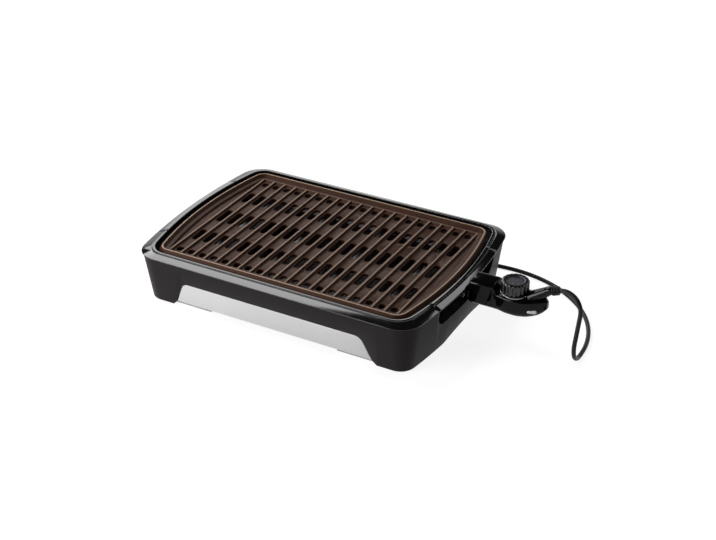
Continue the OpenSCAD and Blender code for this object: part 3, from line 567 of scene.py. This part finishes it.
def rounded_slot(y, length):
    """Outline of a round-ended slot that runs front to back."""
    radius = SLOT_W / 2
    return [(sign * radius * cos(a), y + sign * (length / 2 - radius + radius * sin(a)))
            for sign in (1, -1) for a in np.linspace(0, pi, SLOT_STEPS)]


def foot_places():
    """Where the plate stands on its pads."""
    by_side = (side_arc(0, 0, FOOT_SIDE_Y, 2)[1][0] - FOOT_INSET, FOOT_SIDE_Y)
    by_back = (FOOT_BACK_X, CREST_HALF.y - FOOT_INSET)
    return [(sx * x, sy * y) for x, y in (by_side, by_back) for sx in (1, -1) for sy in (1, -1)]


def grill_plate(material):
    """The cast plate: pan, ribs, slots and feet."""
    pan = loft("ribbed_grill_plate",
               [[(x, y, z) for x, y in whole_loop(off)] for off, z in pan_section()])
    rows = [(sign * y, length) for y, length in SLOT_ROWS for sign in ((1, -1) if y else (1,))]
    column = join("slot_column", [
        prism("slot", rounded_slot(y, length), from_above(PLATE_UNDER - SLOT_BELOW), SLOT_DEPTH)
        for y, length in rows])
    cut(pan, in_a_row(column, RIB_COUNT - 1, RIB_PITCH, material))
    soften(pan, PLATE_EDGE, angle=55)
    rib = prism("rib", rib_section(), from_front(-RIB_HALF, FLOOR_Z), 2 * RIB_HALF)
    in_a_row(rib, RIB_COUNT, RIB_PITCH, material)
    feet = [turned("foot", FOOT_PROFILE, (x, y, FOOT_Z), steps=24) for x, y in foot_places()]
    return shade(join("ribbed_grill_plate", [pan, rib, *feet]), PLATE_SMOOTH)


# ---- plug-in control

def slant(angle):
    """Direction that rises by an angle towards the end of the control."""
    return Vector((cos(angle), 0, sin(angle)))


NOSE_X, SEAM_X, DIAL_X = 246.9, 273.9, 312.4
NOSE_LOW, NOSE_TOP, NOSE_HALF = 52.0, 91.0, 17.0
NOSE_ROUND, NOSE_ROUND_STEPS, NOSE_LOW_R, NOSE_TOP_R = 4.0, 8, 6, 8
NOSE_END = DIAL_X - 10
LIP, LIP_R, LIP_L, LIP_AHEAD = (-16, 61.0, 16, 72.5), 1.5, 6, 5
SEAM_SLOPE, SEAM_GAP = tan(radians(16)), 0.25
DECK_Z, SPLIT_Z = 79.6, 59.0
CUT_REACH, CUT_OVER, CUT_HALF = 130, 30, 60  # cutters pass the control all round
SPLIT_X, SPLIT_REACH = (NOSE_X - 10, NOSE_X + 160), (SPLIT_Z - 40, SPLIT_Z + 80)
NOSE_EDGE, LIP_EDGE, POINTER_EDGE = 0.45, 0.4, 0.2
CONTROL_EDGE, CONTROL_EDGE_ANGLE = 0.4, 42
SLICE_STEPS, BODY_STEPS = 7, 5
# distance along, half width, lowest, highest, radius of the lower corners, of the upper corners
BODY_STATIONS = [
    (254.9, 17, 52, 91, 6, 8), (284.4, 17, 52, 90.6, 6, 8), (290.4, 17.8, 51.8, 81.2, 7, 5),
    (292.4, 18.2, 51.6, 79.6, 8, 5), (306.4, 21.4, 50.4, 79.6, 10, 5), (320.4, 22, 50, 79.6, 11, 5),
    (332.4, 20.6, 50.6, 80, 12, 6), (342.4, 17.8, 52.6, 81.6, 12, 7), (351.4, 13.4, 56, 83, 10, 8),
    (358.4, 8.6, 61, 82.6, 7, 7), (363.4, 4, 67, 78.6, 3, 3)]
RELIEF_UP, RELIEF_L, NECK_UP, ELBOW_L = radians(15), 12.0, radians(36), 4
RELIEF_END = Vector((380.2, 0.0, 101.5))
NECK_FACE = RELIEF_END - RELIEF_L * slant(RELIEF_UP)
NECK_ELBOW = NECK_FACE - ELBOW_L * slant(RELIEF_UP)
NECK_BACK, NECK_RADII = (34, 24, 14, 5), (10.5, 9.4, 8.2, 7.2, 6.8, 6.4)
NECK_STEPS, NECK_SIDES = 4, 32
COLLAR_R, COLLAR_H, COLLAR_BORE = 21.5, 2.4, 4
SEAT_GAP, SEAT_H = 0.2, 40
DIAL_R, DIAL_LOW, DIAL_H = 20.5, 82.3, 17.6
FLUTES, FLUTE_R, FLUTE_SINK, FLUTE_STEPS = 18, 2.1, 0.45, 16
DISC_R, DISC_SINK = 12.4, 2.4
POINTER, POINTER_SINK, POINTER_H = (-0.9, -11.2, 0.9, -4.4), 0.3, 0.7
LENS_TURN, LENS_HALF, LENS_R, LENS_STEPS = radians(20), 7.5, 2.8, 10
LENS_FOOT = Vector((DIAL_X + 33.3, 1.4 - NOSE_HALF, NOSE_LOW + 12.5))
LENS_DOME = ((0, -3), (0, 0.2), (0.25, 0.6), (0.8, 0.95), (1.6, 1.2), (2.4, 1.3))  # inset, rise
CORD_D = 6.6
GUARD_RIBS, GUARD_PITCH, GUARD_R, GUARD_TAPER = 4, 2.6, 7.4, 0.3


def control_slice(x, half, low, top, low_r, top_r):
    """Rounded cross-section of the control at a distance along the grill."""
    loop = []
    for cy, cz, r, start in (
            (half - low_r, low + low_r, low_r, -90), (half - top_r, top - top_r, top_r, 0),
            (top_r - half, top - top_r, top_r, 90), (low_r - half, low + low_r, low_r, 180)):
        loop += [(x, cy + r * cos(a), cz + r * sin(a))
                 for a in np.radians(np.linspace(start, start + 90, SLICE_STEPS))]
    return loop


def seam_side(shift, ahead):
    """A cutter on one side of the slanting seam between the nose and the body."""
    reach = CUT_REACH if ahead else -CUT_REACH
    low, top = NOSE_LOW - CUT_OVER, NOSE_TOP + CUT_OVER
    x0 = SEAM_X + shift - CUT_OVER * SEAM_SLOPE
    x1 = SEAM_X + shift + (top - NOSE_LOW) * SEAM_SLOPE
    return cutter([(x0, low), (x0 + reach, low), (x1 + reach, top), (x1, top)],
                  from_front(-CUT_HALF), 2 * CUT_HALF)


def split_side(body):
    """A cutter that takes all under the split from the body, or all over it from the base."""
    low, high = (SPLIT_REACH[0], SPLIT_Z) if body else (SPLIT_Z - SEAM_GAP, SPLIT_REACH[1])
    return block((SPLIT_X[0], -CUT_HALF, low), (SPLIT_X[1], CUT_HALF, high))


def control_nose():
    """Front block of the control, with the lip that enters the socket."""
    slices = []
    for a in np.radians(np.linspace(0, 90, NOSE_ROUND_STEPS)):
        inset = NOSE_ROUND * (1 - sin(a))
        slices.append(control_slice(
            NOSE_X + NOSE_ROUND * (1 - cos(a)), NOSE_HALF - inset, NOSE_LOW + inset,
            NOSE_TOP - inset, NOSE_LOW_R - inset / 2, NOSE_TOP_R - inset / 2))
    slices.append(control_slice(NOSE_END, NOSE_HALF, NOSE_LOW, NOSE_TOP, NOSE_LOW_R, NOSE_TOP_R))
    piece = cut(loft("control_nose", slices), seam_side(-SEAM_GAP, True))
    soften(piece, NOSE_EDGE, angle=40, segments=3)
    lip = fillet(rectangle(*LIP), [LIP_R] * 4)
    boss = soften(prism("lip", lip, from_side(NOSE_X - LIP_AHEAD), LIP_L), LIP_EDGE, angle=50)
    return shade(join("control_nose", [piece, boss]), 40)


def body_blank(name):
    """The whole body with the neck that carries the lead."""
    body = loft(name, [control_slice(*s) for s in eased(BODY_STATIONS, BODY_STEPS)])
    spine = [NECK_ELBOW - back * slant(NECK_UP) for back in NECK_BACK] + [NECK_ELBOW, NECK_FACE]
    route = smooth_route(spine, NECK_STEPS)
    at = np.linspace(0, len(spine) - 1, len(route))
    radii = np.interp(at, range(len(spine)), NECK_RADII)
    across = Vector((0, 1, 0))
    loops = []
    for i, (middle, radius) in enumerate(zip(route, radii)):
        ahead = (route[min(i + 1, len(route) - 1)] - route[max(i - 1, 0)]).normalized()
        loops.append(round_loop(middle, across, ahead.cross(across), radius, NECK_SIDES))
    return cut(body, loft("neck", loops), operation="UNION")


def control_body():
    """Upper shell of the control, with the round seat for the collar."""
    seat_r = COLLAR_R + SEAT_GAP
    seat = turned("seat", [(seat_r, 0), (seat_r, SEAT_H)], (DIAL_X, 0, DECK_Z), steps=72)
    piece = cut(body_blank("control_body"), seam_side(0, False), split_side(True), seat)
    return soften(piece, CONTROL_EDGE, CONTROL_EDGE_ANGLE)


def control_base():
    """Lower shell of the control."""
    piece = cut(body_blank("control_base"), seam_side(0, False), split_side(False))
    return soften(piece, CONTROL_EDGE, CONTROL_EDGE_ANGLE)


def lens():
    """Domed pilot lamp window on the side of the body."""
    along = Vector((cos(LENS_TURN), sin(LENS_TURN), 0))
    out = Vector((sin(LENS_TURN), -cos(LENS_TURN), 0))
    loops = []
    for inset, rise in LENS_DOME:
        loop = []
        for sign in (1, -1):
            for a in np.linspace(-pi / 2, pi / 2, LENS_STEPS):
                u = sign * (LENS_HALF - LENS_R + (LENS_R - inset) * cos(a))
                v = sign * (LENS_R - inset) * sin(a)
                loop.append(tuple(LENS_FOOT + along * u + Vector((0, 0, v)) + out * rise))
        loops.append(loop)
    return loft("lamp_window", loops, smooth=50)


def collar():
    """Shiny ring round the foot of the dial."""
    r, h = COLLAR_R, COLLAR_H
    profile = [(COLLAR_BORE, 0), (r - 0.5, 0), (r, 0.5), (r, h - 1.1), (r - 0.35, h - 0.35),
               (r - 1.1, h), (COLLAR_BORE, h)]
    return turned("collar_ring", profile, (DIAL_X, 0, DECK_Z), steps=96, ring=True)


def fluted(radius, depth, z):
    """One level of the dial: a circle with flutes of a share of their full depth."""
    reach = radius + FLUTE_R * FLUTE_SINK
    pitch = 2 * pi / FLUTES
    loop = []
    for i in range(FLUTES * FLUTE_STEPS):
        angle = 2 * pi * i / (FLUTES * FLUTE_STEPS)
        off = (angle + pitch / 2) % pitch - pitch / 2
        inside = FLUTE_R ** 2 - (reach * sin(off)) ** 2
        r = min(radius, reach * cos(off) - sqrt(inside)) if inside > 0 else radius
        r = radius - (radius - r) * depth
        loop.append((DIAL_X + r * cos(angle), r * sin(angle), DIAL_LOW + z))
    return loop


def dial():
    """Fluted knob with a rolled top edge and a recess for its disc."""
    r, top, hole = DIAL_R, DIAL_H, DISC_R
    levels = [(r - 0.5, 0.9, 0), (r, 1, 0.5), (r, 1, 6), (r, 1, top - 2.2),
              (r - 0.15, 1, top - 1.6), (r - 0.5, 0.95, top - 1.05), (r - 1.1, 0.75, top - 0.55),
              (r - 1.9, 0.4, top - 0.2), (r - 2.8, 0.1, top - 0.03), (r - 3.8, 0, top),
              (hole + 1.1, 0, top), (hole + 0.6, 0, top - 0.15), (hole + 0.25, 0, top - 0.55),
              (hole + 0.2, 0, top - DISC_SINK)]
    return loft("fluted_dial", [fluted(*level) for level in levels], smooth=50)


def dial_plate():
    """Inset disc with its raised pointer."""
    z = DIAL_LOW + DIAL_H - DISC_SINK
    profile = [(DISC_R, -0.4), (DISC_R, 0.35), (DISC_R - 0.25, 0.6), (6, 0.68), (0.5, 0.7)]
    disc = turned("disc", profile, (DIAL_X, 0, z), steps=96)
    mark = fillet(rectangle(*POINTER), [0.5, 0.5, 0.9, 0.9])
    pointer = prism("pointer", mark, from_above(z + POINTER_SINK, DIAL_X), POINTER_H)
    return shade(join("dial_plate", [disc, soften(pointer, POINTER_EDGE, angle=50)]), 35)


def ribbed_guard():
    """Strain relief with ribs that grow smaller towards the lead."""
    profile = [(CORD_D / 2, -6), (4.6, -0.2), (4.9, 0.3)]
    for i in range(GUARD_RIBS):
        z, r = 1 + GUARD_PITCH * i, GUARD_R - GUARD_TAPER * i
        profile += [(r - 1, z - 0.25), (r - 0.25, z), (r, z + 0.35), (r, z + 1.25),
                    (r - 0.25, z + 1.6), (r - 1, z + 1.85)]
    profile += [(4.2, RELIEF_L - 0.6), (3.9, RELIEF_L - 0.1), (CORD_D / 2, RELIEF_L)]
    return turned("ribbed_guard", profile, NECK_FACE, slant(RELIEF_UP), steps=40, smooth=45)


# ---- mains lead and plug

LEAD_BEND = 4.08 * CORD_D  # radius of the bends over the guard and onto the table
LEAD_LEAN = radians(20)  # how far the hanging part leans towards the front
LEAD_SWAY = 1.6  # how late the bend over the guard starts to lean
LEAD_Z = CORD_D / 2
LEAD_START, BEND_STEPS, FALL_STEPS, RUN_STEPS = 2, 13, 5, 15
LANDING_L = 3
RUN_END = (235.0, 180.0)
RUN_TO_COIL = [(214, 179, LEAD_Z), (192, 177, LEAD_Z), (170, 174.6, LEAD_Z), (150, 173, LEAD_Z)]
COIL_AT, COIL_R, COIL_TURNS, COIL_STEPS = Vector((130.0, 216.0, 0.0)), 43.5, 4.12, 28
COIL_INWARDS, COIL_CLIMB_FROM, COIL_CLIMB = 2.1, 1.8, 0.3  # turns
TAIL_ROUTE = [(91, 194, 10.1), (83.6, 204.2, 11.5), (77.2, 214.4, 13.7), (70.4, 221.2, 15.9),
              (61.9, 225.6, 17.4), (52.4, 227, 18), (48, 227, 18)]
ROUTE_STEPS = 4
PLUG_PROFILE = [
    (3.6, 0), (5, 0.3), (5.4, 3), (5.8, 8), (7, 10.4), (10, 12.2), (13, 13), (14.6, 13.8),
    (15.8, 15), (17, 17.4), (17.7, 20), (18, 23), (18, 32.6), (17.6, 33.6), (16.8, 34)]


def lead_points():
    """The lead bends over and down to the table and crosses it to the coil."""
    lean = tan(LEAD_LEAN)
    over = pi / 2 + RELIEF_UP
    over_y = -LEAD_BEND * over * lean / LEAD_SWAY
    middle = RELIEF_END + LEAD_START * slant(RELIEF_UP)
    middle += LEAD_BEND * Vector((sin(RELIEF_UP), 0, -cos(RELIEF_UP)))
    points = [tuple(RELIEF_END)]
    for t in np.linspace(0, 1, BEND_STEPS):
        a = over * (1 - t)
        points.append((middle.x + LEAD_BEND * cos(a), over_y * t ** LEAD_SWAY,
                       middle.z + LEAD_BEND * sin(a)))
    x, low_z = middle.x + LEAD_BEND, LEAD_Z + LEAD_BEND
    fall = middle.z - low_z - LEAD_BEND * sin(LEAD_LEAN)
    low_y = over_y - fall * lean + LEAD_BEND * cos(LEAD_LEAN)
    points += [(x, over_y - d * lean, middle.z - d) for d in np.linspace(0, fall, FALL_STEPS)[1:-1]]
    points += [(x, y, z) for y, z in
               arc(low_y, low_z, LEAD_BEND, pi - LEAD_LEAN, 1.5 * pi, BEND_STEPS)]
    end_x, end_y = RUN_END
    run_y = low_y + LANDING_L
    points += [(end_x + (x - end_x) * cos(a), run_y + (end_y - run_y) * sin(a), LEAD_Z)
               for a in np.linspace(0, pi / 2, RUN_STEPS)]
    return points + RUN_TO_COIL


def coil_points():
    """Two layers of two turns, wound inwards below and outwards above, clockwise from the front."""
    points = []
    for i in range(int(COIL_TURNS * COIL_STEPS) + 1):
        t = i / COIL_STEPS
        inwards = t if t < COIL_INWARDS else 2 * COIL_INWARDS - t
        radius = min(COIL_R - CORD_D * inwards, COIL_R)
        lift = min(max((t - COIL_CLIMB_FROM) / COIL_CLIMB, 0), 1)
        z = LEAD_Z + CORD_D * lift * lift * (3 - 2 * lift)
        angle = -pi / 2 - 2 * pi * t
        points.append(tuple(COIL_AT + Vector((radius * cos(angle), radius * sin(angle), z))))
    return points


def cord_route():
    """The lead's centreline in metres, from the guard to the plug."""
    points = lead_points() + coil_points() + TAIL_ROUTE
    return [placed(point) for point in smooth_route(points, ROUTE_STEPS)]


def mains_lead(route):
    """The lead as one tube along its centreline."""
    data = bpy.data.curves.new("mains_lead", "CURVE")
    data.dimensions = "3D"
    data.bevel_depth = CORD_D / 2 * MM
    data.bevel_resolution = 5
    spline = data.splines.new("POLY")
    spline.points.add(len(route) - 1)
    for target, point in zip(spline.points, route):
        target.co = (*point, 1)
    spline.use_smooth = True
    return in_scene("mains_lead", data)


def plug():
    """Round two-pin plug with a waisted grip."""
    return turned("plug_shell", PLUG_PROFILE, TAIL_ROUTE[-1], (-1, 0, 0), steps=64, smooth=30)


# ---- finishes

NOISE_LOW, NOISE_HIGH = 0.3, 0.7  # nearly all of a noise lies between these
COAT_ROUGH = 0.05
COATING_DEEP = ((0.029, 0.0125, 0.0075), (0.04, 0.018, 0.011))
# paler shades for the painted highlight on the rib crowns and the rim
COATING_LIT_SHADES = ((0.24, 0.165, 0.12), (0.34, 0.25, 0.19))
COATING_DRIFT, COATING_GRAIN, COATING_FLAKE, COATING_GLINT = 45, 0.7, 0.9, 0.16
FLAKE_COLOUR = (0.26, 0.2, 0.16)
CROWN = RIB_H / (RIM_Z - FLOOR_Z)
BLACK, HALF, WHITE = (0, 0, 0), (0.5, 0.5, 0.5), (1, 1, 1)
# where the painted highlight lightens the coating, by height from the floor (0) past the ribs' crowns
# to the rim (1)
COATING_HIGHLIGHT_MASK = [(CROWN - 0.06, BLACK), (CROWN - 0.03, HALF), (CROWN + 0.002, HALF),
                  (CROWN + 0.015, BLACK), (0.93, BLACK), (0.975, WHITE)]


def new_finish(name):
    """A material with its tree, its shader and the coordinates that belong to the piece."""
    made = bpy.data.materials.new(name)
    made.use_nodes = True
    tree = made.node_tree
    shader = next(n for n in tree.nodes if n.type == "BSDF_PRINCIPLED")
    return made, tree, shader, add(tree, "ShaderNodeTexCoord").outputs["Object"]


def noise(tree, place, size, detail=3.0):
    """Noise with features of a size in millimetres."""
    return add(tree, "ShaderNodeTexNoise",
               {"Scale": 1 / (size * MM), "Detail": detail, "Vector": place})


def ramp(tree, source, stops):
    """Colours along a value, from (position, colour) stops."""
    made = add(tree, "ShaderNodeValToRGB", {"Fac": source})
    elements = made.color_ramp.elements
    while len(elements) < len(stops):
        elements.new(0.5)
    for element, (at, colour) in zip(elements, stops):
        element.position = at
        element.color = (*colour, 1)
    return made


def shades(tree, source, first, second):
    """Two colours that drift into one another with a noise."""
    return ramp(tree, source, [(NOISE_LOW, first), (NOISE_HIGH, second)])


def spread(tree, source, low, high, since=NOISE_LOW, until=NOISE_HIGH):
    """Stretches a value between two ends to run from low to high."""
    return add(tree, "ShaderNodeMapRange", {
        "From Min": since, "From Max": until, "To Min": low, "To Max": high, "Value": source})


def bump(tree, source, depth, strength):
    """A bump of a depth in millimetres."""
    return add(tree, "ShaderNodeBump",
               {"Distance": depth * MM, "Strength": strength, "Height": source})


def blend(tree, kind, share, first, second):
    """Two colours mixed by a share, which is a number or a node."""
    return add(tree, "ShaderNodeMix", {"Factor": share, "A": first, "B": second},
               data_type="RGBA", blend_type=kind).outputs["Result"]


def plain_finish(name, dark, light, rough, metal=0.0, drift=30.0, grain=0.3, depth=0.02,
                 strength=0.3, uneven=0.05, specular=0.5, coat=0.0):
    """A moulded, painted or rolled surface: two close shades, uneven gloss and a fine grain."""
    made, tree, shader, place = new_finish(name)
    slow = noise(tree, place, drift)
    feed(tree, shader, {
        "Base Color": shades(tree, slow, dark, light),
        "Roughness": spread(tree, slow, rough - uneven, rough + uneven),
        "Normal": bump(tree, noise(tree, place, grain), depth, strength),
        "Metallic": metal, "Specular IOR Level": specular,
        "Coat Weight": coat, "Coat Roughness": COAT_ROUGH})
    return made


def grey(value, warm=1.0):
    """A grey; over 1 it is warm."""
    return (value * warm, value, value / warm)


def gloss_black(name, level, rough, specular=0.5):
    """Moulded black plastic or enamel with a gloss."""
    return plain_finish(name, grey(level * 0.9), grey(level * 1.15), rough, drift=40, grain=1.6,
                        depth=0.01, strength=0.12, uneven=0.02, specular=specular)


def satin_black(name, level, rough):
    """Moulded black plastic with a matt grain."""
    return plain_finish(name, grey(level * 0.85, 1.02), grey(level * 1.15, 1.02), rough, drift=35,
                        grain=0.45, depth=0.03, strength=0.35)


def metal(name, level, rough, grain=0.3, depth=0.015):
    """Bare or plated sheet, rod or screws."""
    return plain_finish(name, grey(level * 0.9), grey(level * 1.06), rough, metal=1.0, drift=18,
                        grain=grain, depth=depth, strength=0.25)


def brown_coating(name):
    """Non-stick coating with fine bronze flakes, and a painted highlight that lightens the rib crowns
    and the rim.
    """
    made, tree, shader, place = new_finish(name)
    fine = noise(tree, place, COATING_GRAIN, detail=4)
    flakes = add(tree, "ShaderNodeTexVoronoi", {"Scale": 1 / (COATING_FLAKE * MM), "Vector": place})
    glint = ramp(tree, flakes, [(0.06, FLAKE_COLOUR), (0.2, BLACK)])
    deep = shades(tree, noise(tree, place, COATING_DRIFT), *COATING_DEEP)
    flecked = blend(tree, "ADD", COATING_GLINT, deep, glint)
    height = add(tree, "ShaderNodeSeparateXYZ", {0: place}).outputs["Z"]
    # painted highlight: the coating turns lighter with height on the rib crowns and the rim
    painted_highlight = ramp(tree, spread(tree, height, 0.0, 1.0, FLOOR_Z * MM, RIM_Z * MM), COATING_HIGHLIGHT_MASK)
    feed(tree, shader, {
        "Base Color": blend(tree, "MIX", painted_highlight, flecked, shades(tree, fine, *COATING_LIT_SHADES)),
        "Roughness": spread(tree, fine, 0.36, 0.48), "Normal": bump(tree, fine, 0.03, 0.4),
        "Metallic": 0.05, "Specular IOR Level": 0.08, "Specular Tint": (1.0, 0.78, 0.64, 1)})
    return made


def finishes():
    """Every finish by the name of its slot; a level is how much light a grey gives back."""
    return {
        "housing": plain_finish(
            "housing_satin", (0.0145, 0.0113, 0.0125), (0.0185, 0.0145, 0.016), rough=0.5,
            drift=60, grain=0.45, depth=0.03, specular=0.12),
        "frame": gloss_black("frame_gloss", level=0.003, rough=0.08),
        "handles": gloss_black("handle_gloss", level=0.003, rough=0.08),
        "inner": satin_black("inner_satin", level=0.02, rough=0.5),
        "bottom": metal("bottom_zinc", level=0.32, rough=0.42, grain=0.8),
        "rubber": plain_finish("foot_rubber", grey(0.014), grey(0.022), rough=0.75, depth=0.04,
                               strength=0.5),
        "screw_steel": metal("screw_zinc", level=0.6, rough=0.3, grain=0.4),
        "pad": plain_finish("pad_silicone", grey(0.06, 1.08), grey(0.08, 1.08), rough=0.7,
                            grain=0.4),
        # reflector and straps are set far darker than bare aluminised and plain steel: painted shade
        # under the plate
        "reflector": metal("reflector_aluminised", level=0.11, rough=0.55, grain=2.5, depth=0.03),
        "strap_steel": metal("strap_steel", level=0.14, rough=0.45, grain=0.8),
        "element": plain_finish("element_oxide", (0.07, 0.064, 0.06), (0.13, 0.115, 0.105),
                                rough=0.5, metal=0.7, drift=9, grain=0.35, uneven=0.1),
        "ceramic": plain_finish("bead_ceramic", (0.7, 0.67, 0.6), (0.78, 0.76, 0.7), rough=0.35,
                                drift=6),
        "pin_steel": metal("pin_nickel", level=0.66, rough=0.22),
        "guard": satin_black("guard_satin", level=0.03, rough=0.45),
        "cast_plate": brown_coating("plate_coating"),
        "tray": gloss_black("tray_enamel", level=0.014, rough=0.3),
        "bracket": satin_black("bracket_satin", level=0.02, rough=0.5),
        "silver_front": plain_finish("front_silver", grey(0.7), grey(0.74), rough=0.36, metal=0.12,
                                     drift=60, grain=0.25, depth=0.012, strength=0.25, uneven=0.03),
        "control_plastic": gloss_black("control_gloss", level=0.002, rough=0.09, specular=0.14),
        "switch": plain_finish("switch_phenolic", (0.2, 0.13, 0.07), (0.26, 0.17, 0.1), rough=0.5),
        "brass": plain_finish("sleeve_brass", (0.6, 0.45, 0.2), (0.68, 0.52, 0.25), rough=0.28,
                              metal=1.0, drift=8),
        "rod_steel": metal("rod_stainless", level=0.62, rough=0.25),
        "lens": plain_finish("lens_milky", (0.78, 0.78, 0.75), (0.86, 0.86, 0.84), rough=0.14,
                             drift=5, grain=1.2, depth=0.01, strength=0.1, uneven=0.03, coat=0.6),
        "collar": plain_finish("collar_dark_chrome", grey(0.17), grey(0.21), rough=0.14, metal=0.9,
                               drift=20, grain=1.5, depth=0.006, strength=0.1, uneven=0.02),
        "dial_plastic": gloss_black("dial_gloss", level=0.005, rough=0.2),
        "disc": plain_finish("disc_slate", (0.02, 0.021, 0.029), (0.028, 0.029, 0.039), rough=0.34,
                             drift=12, depth=0.012, strength=0.25),
        "shaft_steel": metal("shaft_steel", level=0.55, rough=0.3),
        "cord_rubber": plain_finish("lead_rubber", grey(0.006), grey(0.01), rough=0.42, drift=14,
                                    grain=0.35, depth=0.03, strength=0.4, specular=0.2),
        "plug": satin_black("plug_satin", level=0.018, rough=0.42),
    }


# ---- camera, floor and light, in metres

CAMERA_AT = placed((962.9, -1626.1, 1132.8))
LOOK_AT = placed((90.6, -60.3, 85))
ROLL = radians(-0.245)
FOCAL_LENGTH, FILM_WIDTH, VIEW_DEPTH = 71.75, 36, 50
GRILL_MIDDLE = (0, 0, 0.05)
LAMPS = [  # name, place, what it points at, width and height, watts
    ("left_over", (-1.63, 0.4, 1.9), GRILL_MIDDLE, (1.4, 1.4), 44),
    ("right_back", (0.98, 1.25, 1.6), GRILL_MIDDLE, (1.7, 0.5), 9),
    ("left_back", (-1.62, 1.77, 1.36), (0, 0, 0.2), (1.6, 0.8), 15),
    ("front", (-1.05, -1.5, 0.75), GRILL_MIDDLE, (1.2, 0.7), 33)]
STUDIO_SHADES = [(0.2, WHITE), (0.42, (0.03, 0.03, 0.03))]  # white walls, dark ceiling
STUDIO_DIM = (0.1, 0.1, 0.1, 1)
FLOOR_HALF, FLOOR_GREYS, FLOOR_DRIFT = 14, (0.23, 0.25), 600
FLOOR_UNSEEN = (0.2, 0.2, 0.2, 1)
GLOW_NEAR, GLOW_FAR, GLOW_SINCE, GLOW_UNTIL = 0.86, 1.0, 1.0, 3.5


def turned_to(spot, target, roll=0.0):
    """A matrix that looks from a spot at a target."""
    look = (target - spot).normalized()
    right = look.cross(Vector((0, 0, 1))).normalized()
    up = right.cross(look)
    across = right * cos(roll) + up * sin(roll)
    rise = up * cos(roll) - right * sin(roll)
    matrix = Matrix((across, rise, -look)).transposed().to_4x4()
    matrix.translation = spot
    return matrix


def set_camera():
    """The camera in front of the grill, to the right and above."""
    data = bpy.data.cameras.new("camera")
    data.sensor_fit = "HORIZONTAL"
    data.sensor_width = FILM_WIDTH
    data.lens = FOCAL_LENGTH
    data.clip_end = VIEW_DEPTH
    camera = in_scene("camera", data)
    camera.matrix_world = turned_to(CAMERA_AT, LOOK_AT, ROLL)
    bpy.context.scene.camera = camera


def soft_lamp(name, spot, target, size, watts):
    """A soft box that points at a target."""
    data = bpy.data.lights.new(name, "AREA")
    data.shape = "RECTANGLE"
    data.size, data.size_y = size
    data.energy = watts
    in_scene(name, data).matrix_world = turned_to(Vector(spot), Vector(target))


def show_by_ray(tree, unseen, seen):
    """One shader for the rays of the camera, metal and glass, another for the light itself."""
    path = add(tree, "ShaderNodeLightPath").outputs
    looks = path["Is Camera Ray"]
    for kind in ("Is Glossy Ray", "Is Transmission Ray"):
        looks = maths(tree, "MAXIMUM", looks, path[kind])
    pick = add(tree, "ShaderNodeMixShader", {"Fac": looks, 1: unseen, 2: seen})
    feed(tree, next(n for n in tree.nodes if n.type.startswith("OUTPUT")), {"Surface": pick})


def set_light():
    """White studio walls under a dark ceiling, and soft boxes round the grill."""
    world = bpy.data.worlds.new("studio")
    world.use_nodes = True
    bpy.context.scene.world = world
    tree = world.node_tree
    surround = next(n for n in tree.nodes if n.type == "BACKGROUND")
    way = add(tree, "ShaderNodeTexCoord").outputs["Generated"]
    height = add(tree, "ShaderNodeSeparateXYZ", {0: way}).outputs["Z"]
    feed(tree, surround, {"Color": ramp(tree, height, STUDIO_SHADES)})
    show_by_ray(tree, add(tree, "ShaderNodeBackground", {"Color": STUDIO_DIM}), surround)
    for lamp in LAMPS:
        soft_lamp(*lamp)


def wear(piece, finish):
    """One finish on the whole piece."""
    piece.data.materials.clear()
    piece.data.materials.append(finish)


def set_floor():
    """A wide pale floor that keeps the shadow and glows to white away from the grill."""
    data = bpy.data.meshes.new("floor")
    square = rectangle(-FLOOR_HALF, -FLOOR_HALF, FLOOR_HALF, FLOOR_HALF)
    data.from_pydata([(x, y, 0) for x, y in square], [], [range(len(square))])
    floor = in_scene("floor", data)
    made, tree, shader, place = new_finish("floor_white")
    feed(tree, shader, {
        "Base Color": shades(tree, noise(tree, place, FLOOR_DRIFT), *map(grey, FLOOR_GREYS)),
        "Roughness": 0.9, "Specular IOR Level": 0.1})
    away = add(tree, "ShaderNodeVectorMath", {0: place}, operation="LENGTH").outputs["Value"]
    glow = add(tree, "ShaderNodeEmission", {
        "Strength": spread(tree, away, GLOW_NEAR, GLOW_FAR, GLOW_SINCE, GLOW_UNTIL)})
    show_by_ray(tree, add(tree, "ShaderNodeBsdfDiffuse", {"Color": FLOOR_UNSEEN}),
                add(tree, "ShaderNodeAddShader", {0: shader, 1: glow}))
    wear(floor, made)


# ---- assembly

SLOT_OF = {part["node"]: part["material_slot"] for part in frame["record"]["subparts"]}


def settle(piece, body, finish, *nodes):
    """Gives a piece the slot, finish and body of the CAD nodes that it stands for."""
    slot = SLOT_OF[nodes[0]]
    wear(piece, finish[slot])
    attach(piece, body)
    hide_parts(*nodes)
    return piece


def build():
    """Makes the lead and every other piece, and dresses the CAD nodes that stay."""
    finish = finishes()
    set_camera()
    route = cord_route()
    lead = settle(mains_lead(route), "probe", finish, "cord_lead", "cord_coil", "cord_tail")
    plug_piece = settle(plug(), "probe", finish, "plug_body")
    for piece, body, node in (
            (base_shell(), "base", "base_shell"), (top_frame(), "base", "top_frame"),
            (handle("grip_right", 1), "base", "handle_right"),
            (handle("grip_left", -1), "base", "handle_left"),
            (grill_plate(finish["cast_plate"]), "plate", "grill_plate"),
            (silver_front(), "tray", "tray_front"), (control_nose(), "probe", "probe_nose"),
            (control_body(), "probe", "probe_body"), (control_base(), "probe", "probe_base"),
            (lens(), "probe", "pilot_lens"), (collar(), "probe", "dial_collar"),
            (ribbed_guard(), "probe", "strain_relief"), (dial(), "dial", "control_dial"),
            (dial_plate(), "dial", "dial_disc")):
        settle(piece, body, finish, node)
    for name, node in frame["nodes"].items():
        if not node.hide_render:
            wear(node, finish[SLOT_OF[name]])


bpy.context.scene.view_settings.view_transform = "Standard"
set_floor()
set_light()
build()
